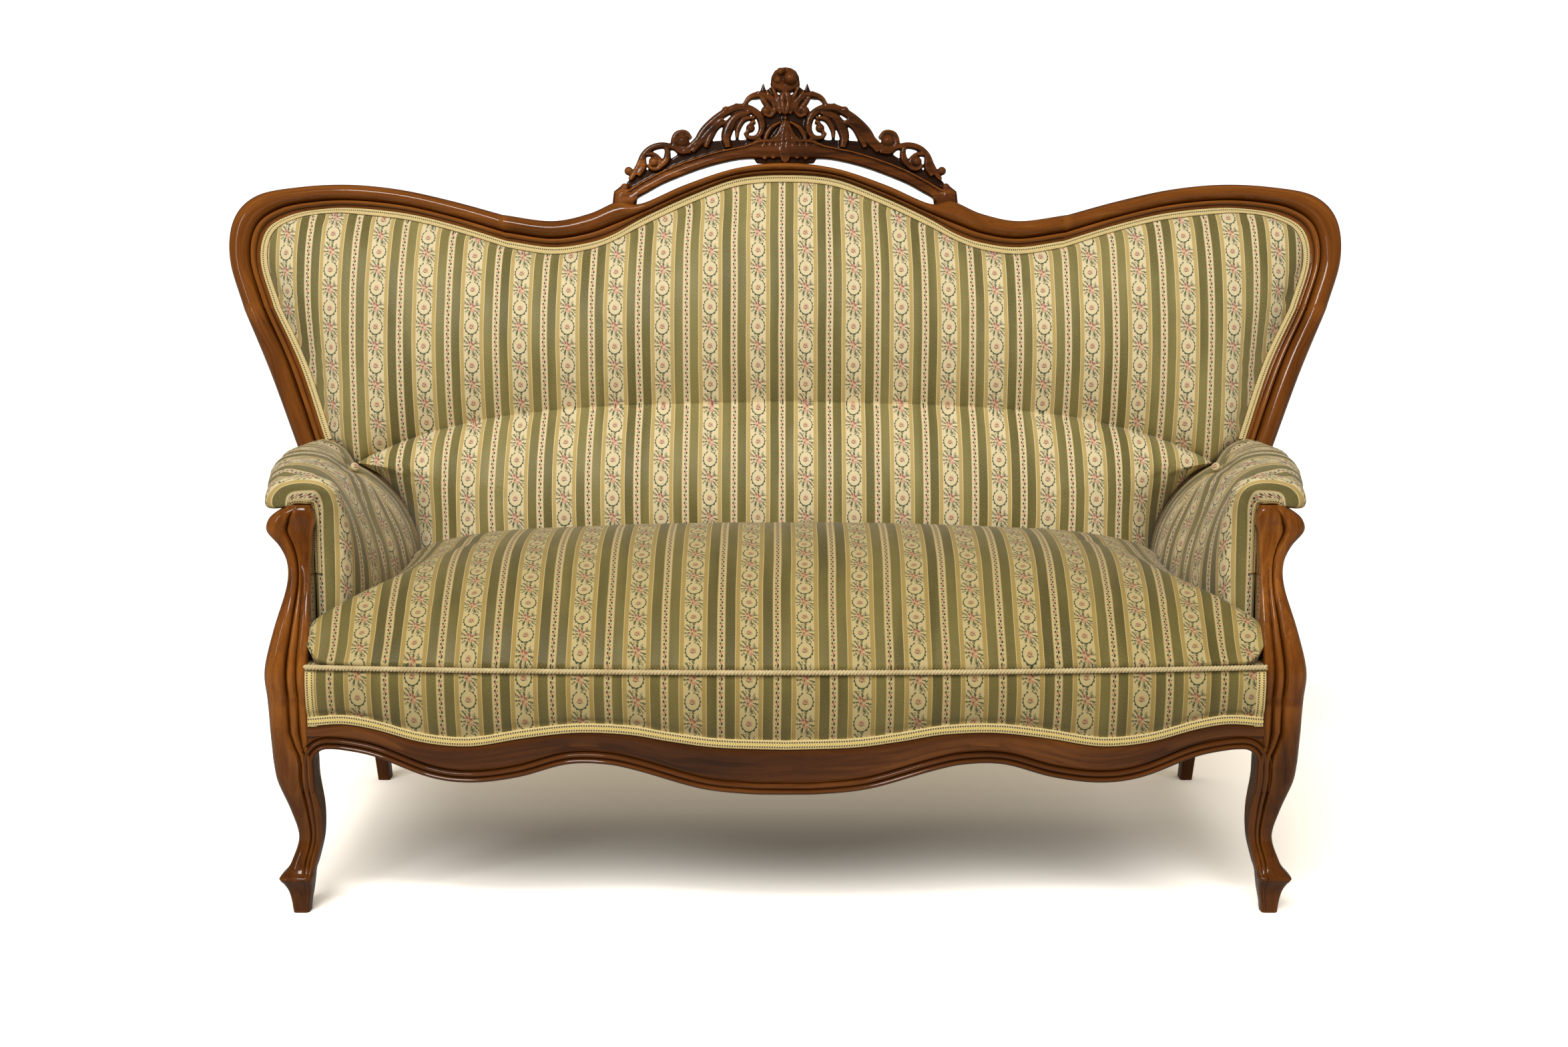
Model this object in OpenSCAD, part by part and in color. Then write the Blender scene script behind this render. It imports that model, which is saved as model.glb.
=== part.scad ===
// Cabriole sofa: a moulded show-wood frame with a carved crest, a sprung seat,
// a padded back with a lumbar roll, and two padded arms.
// Millimetres. The front looks along -Y, +Z is up, left is -X.
// The origin is on the floor, in the middle of the space that the sofa takes up.

/* [Overall] */
// Width over the two shoulders of the back
overall_w = 1820; // [1600:10:2100]
// Height of the top of the crest
overall_h = 1196; // [1150:2:1260]
// Depth from the front edge of the seat to the heels of the back feet
overall_d = 830; // [790:5:880]
// Height of the crest, from the top of the arch rail
crest_h = 150; // [140:1:165]

/* [Front legs and arm supports] */
// Distance from the widest place of the back in to the inner face of a knee block
knee_inset = 255; // [235:1:275]
// Width of a knee block
knee_w = 59; // [52:1:66]
// Depth of a knee block
knee_d = 60; // [54:1:66]
// Height of a front leg, up to the joint under the arm support
leg_h = 304; // [298:1:312]
// Thickness of an arm pad over the top of its support
arm_pad_t = 46; // [40:1:56]
// Distance that the top of an arm support leans back from its foot
support_lean = 62; // [50:1:75]
// Height of the timber under an arm pad
arm_rail_h = 30; // [24:1:36]
// Width of the timber under an arm pad
arm_rail_w = 28; // [22:1:30]

/* [Seat rails] */
// Distance that the front rail bows forward at its middle
rail_bow = 35; // [20:1:45]
// Thickness of the front rail
front_rail_t = 28; // [24:1:34]
// Height of the lowest point of the front rail
apron_h = 182; // [170:1:195]
// Rise of the front rail's lower edge from its middle to the hollow by each knee
apron_rise = 55; // [40:1:60]
// Height of the show-wood face at the middle of the front rail
apron_face = 64; // [56:1:70]
// Height of the underside of the side rails
rail_bottom = 237; // [225:1:245]
// Height of the top of the seat rails
rail_top = 295; // [285:1:297]
// Thickness of the side rails and of the back seat rail
rail_t = 28; // [22:1:32]
// Depth that the front rail's rebate is let back behind the gimp
rebate = 5; // [4:0.5:7]
// Width of the bead along the lower edge of the front rail
bead_w = 7; // [5:0.5:9]
// Depth of the groove between the beads
quirk = 3; // [2:0.5:4]

/* [Back frame] */
// Backward lean of the back, in degrees
back_rake = 11; // [8:0.5:13]
// Distance from the front edge of the seat to the back frame, at the seat rail
seat_run = 614; // [600:1:630]
// Thickness of the back frame, from front to back
frame_t = 46; // [40:1:52]
// Width of a back leg at its foot
foot_w = 29; // [24:1:36]
// Thickness of a back leg at its foot
foot_t = 32; // [26:1:38]
// Distance from the widest place of the back in to the inner face of a back post, at the seat
post_inset = 222; // [212:2:240]
// Width of a back post, at the seat
post_w = 42; // [38:1:48]

/* [Crest] */
// Length of the bowed rail that carries the carving
crest_w = 540; // [510:2:570]
// Thickness of the bowed crest rail
crest_rail_t = 26; // [20:1:32]
// Thickness of the pierced carving
carving_t = 17; // [13:1:22]
// Widest stroke of the carved scrolls
stroke_w = 10; // [8:0.5:12]
// Radius of the bead beside the finial
bead_r = 8; // [6:0.5:9]
// Radius of the largest balls at the ends of the scrolls
scroll_ball_r = 10.5; // [8:0.5:12]

/* [Upholstery] */
// Height of the cord along the front edge of the seat
seat_edge_h = 356; // [346:1:362]
// Height of the crown of the seat
seat_crown_h = 481; // [460:1:490]
// Height of the top of the arm pads
arm_h = 614; // [606:1:622]
// Distance that the back padding stands proud of the back frame
back_crown = 26; // [16:1:36]
// Distance that the lumbar roll stands proud of the back frame
lumbar_crown = 56; // [46:1:60]
// Height of the crease over the lumbar roll, at the middle
crease_h = 658; // [640:1:680]
// Width of the braid along the edge of the seat
seat_gimp_w = 13; // [10:0.5:16]
// Width of the braid round the back and on the arms
gimp_w = 11; // [8:0.5:13]
// Thickness of the braid
gimp_t = 2; // [1.5:0.5:3]
// Diameter of the cord along the front edge of the seat
cord_d = 8; // [6:0.5:10]
// Distance that the seat's front edge stands out past the front rail
seat_overhang = 16; // [12:1:20]
// Height of the seat's sides over the cord, by the arm supports
seat_side_rise = 43; // [36:1:50]
// Height of the seat's back edge over the cord
seat_back_rise = 74; // [60:1:90]
// Depth of the crease over the lumbar roll, in front of the back frame
crease_proud = 14; // [8:1:20]
// Clearance between a soft piece and its neighbours
soft_gap = 0.3; // [0.2:0.1:0.5]
// Diameter of the covered buttons
button_d = 22; // [18:1:26]

/* [Springs and webbing] */
// Seat springs from side to side
spring_cols = 5; // [4:1:6]
// Seat springs from front to back
spring_rows = 3; // [2:1:3]
// Diameter of a spring at its ends
spring_d = 96; // [80:1:110]
// Diameter of a spring at its waist
spring_waist_d = 60; // [50:1:76]
// Diameter of the spring wire
wire_d = 4; // [3:0.5:5]
// Turns of one spring
spring_turns = 4; // [3:1:5]
// Width of a webbing band
web_w = 50; // [40:1:60]
// Thickness of a webbing band
web_t = 1.5; // [1:0.5:2]
// Thickness of the hessian and lining cloths
cloth_t = 1.2; // [1:0.1:2]

/* [Fasteners] */
// Diameter of a corner block screw's shank
screw_d = 5; // [4:0.5:6]
// Diameter of a corner block screw's head
screw_head_d = 10; // [8:0.5:12]
// Length of a corner block screw
screw_len = 42; // [36:1:46]
// Length of the two legs of a corner block
block_leg = 58; // [50:1:66]

/* [Hidden] */

half_w = overall_w / 2;
knee_x = half_w - knee_inset;
post_in = half_w - post_inset;
support_h = arm_h - arm_pad_t;
crest_half = crest_w / 2;
front_y = -overall_d / 2;
leg_y = front_y + seat_overhang + rail_bow;
back_y = front_y + seat_run;

// Height of the top of the arch rail, as a share of the height of the shoulders
arch_share = 1.034;
shoulder_h = (overall_h - crest_h) / arch_share;

wood = "saddlebrown";
weave = "darkkhaki";
trim = "palegoldenrod";
cloth = "tan";

// A point between two others
function blend(a, b, t) = a + (b - a) * t;

// A point on the smooth curve through four neighbours, between the middle two
function smooth_span(a, b, c, d, t) =
    0.5 * (2 * b + (c - a) * t + (2 * a - 5 * b + 4 * c - d) * t * t + (3 * b - a - 3 * c + d) * t * t * t);

// The list entry at a place that may lie past either end
function near(list, i) = list[max(0, min(len(list) - 1, i))];

// A smooth curve through a list of points, with a number of steps between each two
function smooth(list, steps) = [
    for (i = [0 : len(list) - 2]) for (k = [0 : steps - 1])
        smooth_span(near(list, i - 1), list[i], list[i + 1], near(list, i + 2), k / steps),
    list[len(list) - 1]];

// The mean of the listed corners of a ring
function hub_of(ring, corners) = [for (a = [0 : 2]) let (all = [for (c = corners) ring[c][a]])
    all * [for (c = corners) 1] / len(corners)];

// A closed solid over a row of rings, each running anticlockwise as seen from the last one's side.
// Its two ends are fans about the mean of the hub corners.
module skin(rings, hub = []) {
    n = len(rings[0]);
    m = len(rings);
    corners = len(hub) > 0 ? hub : [for (k = [0 : n - 1]) k];
    points = concat([for (r = rings) each r], [hub_of(rings[0], corners), hub_of(rings[m - 1], corners)]);
    sides = [for (i = [0 : m - 2]) for (k = [0 : n - 1]) let (a = i * n + k, b = i * n + (k + 1) % n)
        each [[a, a + n, b + n], [a, b + n, b]]];
    ends = [for (k = [0 : n - 1]) let (l = (k + 1) % n, last = (m - 1) * n)
        each [[m * n, k, l], [m * n + 1, last + l, last + k]]];
    polyhedron(points, concat(sides, ends));
}

// The piece and its mirror image, for the two sides of the sofa
module left_of() {
    mirror([1, 0, 0]) children();
}

// Corners of a square with softened corners, as shares of half its width and depth
soft_square_shares = [[1, -0.66], [1, 0.66], [0.92, 0.92], [0.66, 1], [-0.66, 1], [-0.92, 0.92],
    [-1, 0.66], [-1, -0.66], [-0.92, -0.92], [-0.66, -1], [0.66, -1], [0.92, -0.92]];

// A level ring of a turned or shaped timber from its four sides
function timber_ring(x0, x1, y0, y1, z) = [for (s = soft_square_shares)
    [(x0 + x1) / 2 + s[0] * (x1 - x0) / 2, (y0 + y1) / 2 + s[1] * (y1 - y0) / 2, z]];

// Front leg: height as a share of the leg, then the inner, outer, front and back faces
// as shares of the knee block
leg_shares = [
    [0, 0.20, 0.59, 0.22, 0.68], [0.10, 0.12, 0.68, 0.16, 0.74], [0.17, 0.07, 0.86, -0.03, 0.80],
    [0.24, 0.00, 0.64, 0.14, 0.80], [0.35, -0.12, 0.46, 0.33, 0.88], [0.48, -0.13, 0.63, 0.22, 0.92],
    [0.62, -0.02, 0.90, 0.02, 0.98], [0.71, 0, 0.98, -0.03, 1]];

// The knee block of the leg above its curved part, in the same order
knee_shares = [[0.79, 0, 1, -0.03, 1], [1, 0, 1.08, 0.03, 1]];

// One ring of the leg from a row of shares
function leg_ring(s) = timber_ring(knee_x + s[1] * knee_w, knee_x + s[2] * knee_w,
    leg_y + s[3] * knee_d, leg_y + s[4] * knee_d, s[0] * leg_h);

module right_front_leg() {
    color(wood) skin([for (s = concat(smooth(leg_shares, 3), knee_shares)) leg_ring(s)]);
}

module left_front_leg() {
    left_of() right_front_leg();
}

// Arm support: height as a share of its own height, inner and outer faces as shares of the
// knee width, front and back faces as shares of the knee depth, and the share of the lean
support_shares = [
    [0, 0, 1.08, 0.03, 1, 0], [0.16, 0.06, 1.12, -0.03, 1.02, 0], [0.36, 0.04, 0.93, 0, 1, 0.2],
    [0.57, 0.08, 0.68, 0.08, 0.88, 0.6], [0.69, 0.1, 0.68, 0.08, 0.86, 0.8],
    [0.78, 0.08, 0.87, 0.02, 0.86, 0.92], [0.86, 0.06, 1.18, -0.04, 0.88, 1],
    [0.92, 0, 1.14, -0.02, 0.88, 1], [1, 0.12, 0.62, 0.18, 0.88, 1]];

function support_ring(s) = timber_ring(knee_x + s[1] * knee_w, knee_x + s[2] * knee_w,
    leg_y + s[3] * knee_d + s[5] * support_lean, leg_y + s[4] * knee_d + s[5] * support_lean,
    leg_h + s[0] * (support_h - leg_h));

// The arm support's back face, at the height of the arm rail
support_back_y = leg_y + support_shares[8][4] * knee_d + support_lean;

module right_arm_support() {
    color(wood) skin([for (s = smooth(support_shares, 2)) support_ring(s)]);
}

module left_arm_support() {
    left_of() right_arm_support();
}

// Lower edge of the front rail: place as a share of half the rail, height as a share of the rise
apron_low_shares = [[0, 0], [0.08, 0.02], [0.18, 0.16], [0.31, 0.6], [0.38, 0.76], [0.46, 0.74],
    [0.56, 0.40], [0.66, 0.24], [0.75, 0.36], [0.86, 0.84], [0.93, 1], [1, 0.86]];

// Upper edge of its show-wood face, as shares of the rise above the middle of that edge
apron_high_shares = [[0, 0], [0.14, 0.05], [0.24, 0.2], [0.33, 0.37], [0.44, 0.4], [0.55, 0.24],
    [0.66, 0.02], [0.76, 0.1], [0.86, 0.4], [0.93, 0.52], [1, 0.45]];

low_curve = smooth(apron_low_shares, 3);
high_curve = smooth(apron_high_shares, 3);

// Height of the two edges at a place along the rail
function apron_low(x) = apron_h + apron_rise * lookup(abs(x) / knee_x, low_curve);
function apron_high(x) = apron_h + apron_face + apron_rise * lookup(abs(x) / knee_x, high_curve);

// Front face of the rail at a place along it, bowed forward in the middle
function bow_y(x) = leg_y - rail_bow * (1 - pow(x / knee_x, 2));

// Places along the front of the sofa, from one side to the other
rail_steps = 40;
function along(half) = [for (i = [0 : rail_steps]) half * (2 * i / rail_steps - 1)];
function stations(half) = concat([-half], [for (x = along(knee_x)) if (abs(x) < half - quirk) x], [half]);

// The rail's section: back, rebate, show-wood face, then the two beads along its lower edge
function front_rail_ring(x) = let (y = bow_y(x), z = apron_low(x), top = apron_high(x)) [
    [x, y + front_rail_t, z], [x, y + front_rail_t, rail_top],
    [x, y + rebate, rail_top], [x, y + rebate, top],
    [x, y + quirk / 3, top], [x, y + quirk / 3, z + 2 * bead_w + quirk],
    [x, y + quirk, z + 2 * bead_w], [x, y + quirk / 3, z + 2 * bead_w - quirk / 2],
    [x, y + quirk, z + bead_w], [x, y, z + bead_w - quirk / 2],
    [x, y, z + quirk / 2], [x, y + quirk, z]];

module front_rail() {
    color(wood) skin([for (x = along(knee_x)) front_rail_ring(x)], [0, 3]);
}

// Back posts: each runs from the foot, through a block at the seat, to the moulded stile

// Foot to seat: height as a share of the rail's underside, then the share between the section
// of the block and that of the foot, and the share of the backward sweep
back_leg_shares = [[0, 1, 1], [0.25, 0.9, 0.91], [0.5, 0.6, 0.64], [0.72, 0.3, 0.3], [0.92, 0, 0.04]];
heel_sweep = overall_d - foot_t - seat_run;

function back_leg_ring(s) = let (w = blend(post_w, foot_w, s[1]), t = blend(frame_t, foot_t, s[1]),
    y = back_y + s[2] * heel_sweep)
    post_ring(post_in, post_in + w, y, y + t, s[0] * rail_bottom);

// The plain section of a back timber, and the moulded one: across from the outer edge,
// then forward from the back face, as shares of the width and the thickness
plain_shares = [
    [0, 0], [1, 0], [1, 0.94], [0.95, 1], [0.9, 1], [0.78, 1], [0.68, 1],
    [0.6, 1], [0.46, 1], [0.28, 1], [0.1, 1], [0, 0.94], [0, 0.5]];
mould_shares = [
    [0.05, 0], [1, 0], [1, 0.62], [0.93, 0.68], [0.86, 0.82], [0.76, 0.82], [0.7, 0.68],
    [0.6, 0.88], [0.46, 0.98], [0.28, 1], [0.12, 0.88], [0.02, 0.62], [0, 0.3]];

function post_ring(x_in, x_out, y_front, y_back, z) = [for (s = plain_shares)
    [blend(x_out, x_in, s[0]), blend(y_back, y_front, s[1]), z]];

// A point on the leaning plane of the back frame, and that far in front of it
function on_plane(x, z, n) = [x, back_y + (z - rail_top) * tan(back_rake) - n * cos(back_rake),
    z + n * sin(back_rake)];

// A ring of the back frame between its outer and inner edges; rich is 0 for a plain section
// and 1 for the moulded one
function frame_ring(edges, rich) = [for (k = [0 : len(plain_shares) - 1])
    let (s = blend(plain_shares[k], mould_shares[k], rich),
        x = blend(edges[0], edges[2], s[0]) * half_w, z = blend(edges[1], edges[3], s[0]) * shoulder_h)
    on_plane(x, z, (s[1] - 1) * frame_t)];

// Edges of the back frame from the arm to the middle of the arch: outer x and z, inner x and z,
// as shares of half the width and of the shoulder height
stile_shares = [[0.872, 0.580, 0.823, 0.592], [0.923, 0.700, 0.868, 0.709], [0.971, 0.800, 0.917, 0.802]];
corner_shares = [[0.971, 0.800, 0.917, 0.802], [0.998, 0.880, 0.942, 0.875], [0.992, 0.944, 0.932, 0.926],
    [0.952, 0.982, 0.888, 0.951], [0.876, 0.996, 0.826, 0.961], [0.785, 1.000, 0.766, 0.962],
    [0.692, 0.992, 0.677, 0.953], [0.599, 0.974, 0.588, 0.934], [0.508, 0.952, 0.500, 0.910]];
arch_shares = [[0.508, 0.952, 0.500, 0.910], [0.420, 0.942, 0.421, 0.900], [0.352, 0.954, 0.358, 0.906],
    [0.299, 0.974, 0.309, 0.920], [0.259, 0.969, 0.251, 0.949], [0.180, 0.999, 0.167, 0.983],
    [0.090, 1.025, 0.086, 1.009], [0, arch_share, 0, 1.015]];

// The same edges on the other side, from the last but one back to the first
function flip_edges(list) = [for (i = [len(list) - 2 : -1 : 0]) let (e = list[i]) [-e[0], e[1], -e[2], e[3]]];

stile_curve = smooth(stile_shares, 4);
corner_curve = smooth(corner_shares, 3);
arch_curve = smooth(concat(arch_shares, flip_edges(arch_shares)), 3);

// The middle stretch of a post, from the seat block up to the start of the show-wood stile
post_lift = 4;
function post_mid_ring(t) = let (a = post_ring(post_in, post_in + post_w, back_y, back_y + frame_t,
    rail_top + post_lift), b = frame_ring(stile_shares[0], 1))
    [for (k = [0 : len(a) - 1]) blend(a[k], b[k], t)];

module right_back_post() {
    color(wood) skin(concat(
        [for (s = smooth(back_leg_shares, 2)) back_leg_ring(s)],
        [for (t = [0 : 0.25 : 0.75]) post_mid_ring(t)],
        [for (e = stile_curve) frame_ring(e, 1)]));
}

module left_back_post() {
    left_of() right_back_post();
}

module right_shoulder_rail() {
    color(wood) skin([for (e = corner_curve) frame_ring(e, 1)]);
}

module left_shoulder_rail() {
    left_of() right_shoulder_rail();
}

module arch_rail() {
    color(wood) skin([for (e = arch_curve) frame_ring(e, 1)]);
}

// Side rail in plan: its inner face, from the knee block to the back post
side_front_x = knee_x + (knee_w - rail_t) / 2;
side_back_x = post_in + (post_w - rail_t) / 2;
side_front_y = leg_y + knee_d;

function side_x(y) = blend(side_front_x, side_back_x, (y - side_front_y) / (back_y - side_front_y));

module at_height(z, t) {
    translate([0, 0, z]) linear_extrude(t) children();
}

// Corner block screws: one into the back rail and one into the side rail
back_rail_y = back_y + (frame_t - rail_t) / 2;
screw_x = post_in - 0.35 * block_leg;
screw_y = back_y - 0.35 * block_leg;
screw_z = (rail_bottom + rail_top) / 2;
screw_gap = 0.2;

module screw_shape(gap) {
    cylinder(d = screw_d + 2 * gap, h = screw_len + gap, $fn = 24);
    mirror([0, 0, 1]) cylinder(d = screw_head_d, h = quirk, $fn = 24);
}

module at_screws() {
    translate([screw_x, back_rail_y - 0.65 * block_leg, screw_z + screw_d]) rotate([-90, 0, 0]) children();
    translate([side_x(screw_y) - 0.65 * block_leg, screw_y, screw_z - screw_d]) rotate([0, 90, 0]) children();
}

module right_side_rail() {
    color(wood) difference() {
        at_height(rail_bottom, rail_top - rail_bottom) polygon([
            [side_front_x, side_front_y], [side_front_x + rail_t, side_front_y],
            [side_back_x + rail_t, back_y], [side_back_x, back_y]]);
        at_screws() screw_shape(screw_gap);
    }
}

module left_side_rail() {
    left_of() right_side_rail();
}

module back_seat_rail() {
    color("tan") difference() {
        translate([-post_in, back_rail_y, rail_bottom - web_t])
            cube([2 * post_in, rail_t, rail_top - rail_bottom + web_t]);
        for (side = [0, 1]) mirror([side, 0, 0]) at_screws() screw_shape(screw_gap);
    }
}

// Batten behind the front rail that the lengthwise webbing is tacked to
batten_half = knee_x - block_leg;
batten_w = 0.8 * front_rail_t;
function back_of_rail(half) = [for (x = stations(half)) [x, bow_y(x) + front_rail_t]];

module web_batten() {
    line = [for (p = back_of_rail(batten_half)) [p[0], p[1] + soft_gap]];
    color("tan") at_height(rail_bottom - web_t, batten_w)
        polygon(concat(line, [for (i = [len(line) - 1 : -1 : 0]) [line[i][0], line[i][1] + batten_w]]));
}

module block_plans() {
    polygon([[knee_x - block_leg, bow_y(knee_x - block_leg) + front_rail_t], [knee_x, leg_y + front_rail_t],
        [knee_x, leg_y + front_rail_t + block_leg]]);
    polygon([[post_in - block_leg, back_rail_y], [post_in, back_rail_y], [post_in, back_y],
        [side_back_x, back_y], [side_x(back_y - block_leg), back_y - block_leg]]);
}

module corner_blocks() {
    color("tan") for (side = [0, 1]) mirror([side, 0, 0]) difference() {
        at_height(rail_bottom, rail_top - rail_bottom - quirk) block_plans();
        at_screws() {
            screw_shape(screw_gap);
            mirror([0, 0, 1]) cylinder(d = screw_head_d + 4 * screw_gap, h = block_leg, $fn = 24);
        }
    }
}

module block_screws() {
    color("silver") for (side = [0, 1]) mirror([side, 0, 0]) at_screws() screw_shape(0);
}

// Inner face of a back post between the seat and the stile
mid_low_z = rail_top + post_lift;
mid_high = stile_shares[0];
function post_in_x(z) = blend(post_in, mid_high[2] * half_w,
    (z - mid_low_z) / (mid_high[3] * shoulder_h - mid_low_z));

// Pieces laid out on the leaning plane of the back: x, distance up the plane, distance in front
function up_plane(z) = (z - rail_top) / cos(back_rake);

module on_back(n, t) {
    translate([0, back_y, rail_top]) rotate([90 - back_rake, 0, 0])
        translate([0, 0, n]) linear_extrude(t) children();
}

// Lower back rail: the padding of the back is tacked to it
lower_rail_z = seat_edge_h + cord_d;
lower_rail_h = 1.6 * frame_t;
pad_back = 0.4 * frame_t;
web_back = pad_back + soft_gap + cloth_t + soft_gap;

module lower_back_rail() {
    low = lower_rail_z;
    high = lower_rail_z + lower_rail_h;
    low_x = post_in_x(low - frame_t * sin(back_rake));
    high_x = post_in_x(high - frame_t * sin(back_rake));
    color("tan") on_back(soft_gap - frame_t, frame_t - web_back - web_t - 2 * soft_gap)
        polygon([[-low_x, up_plane(low)], [low_x, up_plane(low)],
            [high_x, up_plane(high)], [-high_x, up_plane(high)]]);
}

// Arm rails: from the arm support to the stile, under the arm pad
arm_front_x = knee_x + 0.15 * knee_w;
arm_back_x = mid_high[2] * half_w - quirk / 2;
arm_front_y = support_back_y + 2 * soft_gap;
function plane_y(z) = on_plane(0, z, 0)[1] - soft_gap;
function arm_x(y) = blend(arm_front_x, arm_back_x, (y - arm_front_y) / (plane_y(support_h) - arm_front_y));

arm_rail_low = support_h - arm_rail_h;
function arm_rail_end(low_y, high_y) = [
    [arm_x(low_y), low_y, arm_rail_low], [arm_x(high_y), high_y, support_h],
    [arm_x(high_y) + arm_rail_w, high_y, support_h], [arm_x(low_y) + arm_rail_w, low_y, arm_rail_low]];

module right_arm_rail() {
    color("tan") skin([arm_rail_end(arm_front_y, arm_front_y),
        arm_rail_end(plane_y(arm_rail_low), plane_y(support_h))]);
}

module left_arm_rail() {
    left_of() right_arm_rail();
}

// Arm padding as seen from the front, at the arm support and at the stile.
// Across: share between the inner face and the outer edge. Up: share between the seat rail
// and the top of the pad.
arm_pad_out = knee_x + 1.23 * knee_w;
arm_pad_in = knee_x - 0.6 * knee_w;
arm_pad_back_out = 0.858 * half_w;
seam_in = 0.65 * half_w;
pad_floor = support_h + soft_gap;
arm_front_shares = [
    [0.06, 0.12], [0.04, 0.33], [0.01, 0.55], [0, 0.75], [0.03, 0.89], [0.16, 0.96],
    [0.46, 0.985], [0.78, 0.965], [0.95, 0.92], [1, 0.875], [0.94, 0.845]];
arm_back_shares = [
    [0, 0.12], [0, 0.33], [0.02, 0.52], [0.15, 0.67], [0.36, 0.8], [0.56, 0.885],
    [0.77, 0.955], [0.86, 0.972], [0.95, 0.962], [1, 0.925], [0.985, 0.88]];
arm_steps = 12;

// How far the padding has swollen in over the seat: share from front to back, share of the swell
arm_swell_shares = [[0, 0], [0.083, 0.25], [0.25, 0.9], [0.417, 1.3], [0.583, 1.45], [0.833, 1.35], [1, 1]];

function arm_point(s, x_in, x_out) = [blend(x_in, x_out, s[0]), blend(rail_top, arm_h, s[1])];
function arm_in_x(t) = blend(arm_pad_in, seam_in, lookup(t, arm_swell_shares));
function arm_line(t) = [for (s = blend(arm_front_shares, arm_back_shares, t))
    arm_point(s, arm_in_x(t), blend(arm_pad_out, arm_pad_back_out, t))];

// The padding's inner face at a height
function arm_face_x(t, z) = let (line = arm_line(t)) lookup(z, [for (i = [0 : 6]) [line[i][1], line[i][0]]]);

// Arm pad: the roll over the arm rail and the top of the arm support
pad_start_y = arm_front_y - 0.45 * knee_d;
pad_rise_shares = [0, 0.35, 0.7];
function pad_ring(t, tuck) = let (line = arm_line(t), high = line[6][1],
    inner = [for (s = pad_rise_shares) let (z = blend(pad_floor, high, s)) [arm_face_x(t, z), z]],
    outer = [for (i = [6 : 10]) line[i]],
    all = concat(inner, outer, [[blend(line[6][0], line[10][0], 0.6), pad_floor]]),
    centre = [line[6][0], blend(pad_floor, arm_h, 0.4)])
    [for (p = all) let (q = blend(p, centre, tuck)) [q[0], blend(pad_start_y, plane_y(q[1]), t), q[1]]];

module right_arm_pad() {
    color(weave) skin(concat([pad_ring(0, 0.3), pad_ring(0.01, 0.08)],
        [for (i = [0 : arm_steps]) pad_ring(blend(0.03, 1, i / arm_steps), 0)]));
}

module left_arm_pad() {
    left_of() right_arm_pad();
}

// Inside arm: the padding between the arm rail and the seat
inside_rise_shares = [0, 0.3, 0.55, 0.8, 1];
function inside_ring(t) = let (low = arm_line(t)[0][1], high = support_h,
    inner = [for (s = inside_rise_shares) let (z = blend(low, high, s))
        [arm_face_x(t, z), blend(arm_front_y, plane_y(z), t), z]],
    high_y = blend(arm_front_y, plane_y(high), t), low_y = blend(arm_front_y, plane_y(low), t))
    concat(inner, [[arm_x(high_y) - 2 * soft_gap, high_y, high],
        [min(arm_x(low_y), side_x(low_y)) - 2 * soft_gap, low_y, low]]);

module right_inside_arm() {
    color(weave) skin([for (i = [0 : arm_steps]) inside_ring(i / arm_steps)]);
}

module left_inside_arm() {
    left_of() right_inside_arm();
}

// Outside arm cloth: a thin panel from the side rail up over the outer face of the arm rail
module right_outside_arm() {
    low_front = side_front_y + rail_t / 3;
    low_back = back_y - quirk;
    high_front = arm_front_y + rail_t / 3;
    function on_rail(y, z) = [side_x(y) + rail_t + soft_gap, y, z];
    function on_arm(y, z) = [arm_x(y) + arm_rail_w + soft_gap, y, z];
    function rail_edge(z) = [on_rail(low_front, z), on_rail(low_back, z)];
    function arm_edge(z) = [on_arm(high_front, z), on_arm(plane_y(z) - quirk, z)];
    edges = [rail_edge(rail_top - rail_t / 2), rail_edge(rail_top), arm_edge(arm_rail_low),
        arm_edge(support_h - quirk)];
    color(weave) skin([for (e = edges) [e[0], e[0] + [cloth_t, 0, 0], e[1] + [cloth_t, 0, 0], e[1]]]);
}

module left_outside_arm() {
    left_of() right_outside_arm();
}

// Seat in plan: half of its outline from the middle of the front edge to the middle of the back
seat_half = knee_x - 0.1 * knee_w;
seat_front_y = -seat_overhang + cord_d / 2;
seat_back_y = on_plane(0, seat_edge_h + seat_back_rise, lumbar_crown)[1] - soft_gap;
arm_run = plane_y(seat_edge_h) - arm_front_y;
function arm_inner_x(y) = arm_in_x(max(0, min(1, (y - arm_front_y) / arm_run))) - 2 * soft_gap;
function beside_arm(gap) = [for (i = [0 : arm_steps]) let (y = arm_front_y + arm_run * i / arm_steps)
    if (y < seat_back_y - knee_d / 3) [arm_inner_x(y) - gap, y]];
function seat_half_plan() = concat(
    [for (t = [0 : 0.125 : 0.875]) [t * seat_half, bow_y(t * seat_half) + seat_front_y]],
    [[0.96 * seat_half, leg_y - seat_overhang / 2], [0.992 * seat_half, leg_y + seat_overhang / 2],
        [seat_half, leg_y + knee_d / 2], [seat_half - quirk, leg_y + knee_d]],
    beside_arm(quirk / 3),
    [[arm_inner_x(seat_back_y) - knee_w / 3, seat_back_y - quirk], [0.6 * seat_half, seat_back_y],
        [0.3 * seat_half, seat_back_y], [0, seat_back_y]]);

// The other half of an outline, from its last point back to its first
function mirrored(half) = [for (i = [len(half) - 2 : -1 : 1]) [-half[i][0], half[i][1]]];

// Crowned pads grow inward from an outline to a spine. Each row gives how far in, and how high.
crown_shares = [[0, 0], [0.02, 0.16], [0.07, 0.36], [0.16, 0.6], [0.32, 0.84], [0.56, 0.98], [0.85, 1]];
function spine_of(p, half, level) = [max(-half, min(half, p[0])), level];

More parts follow.
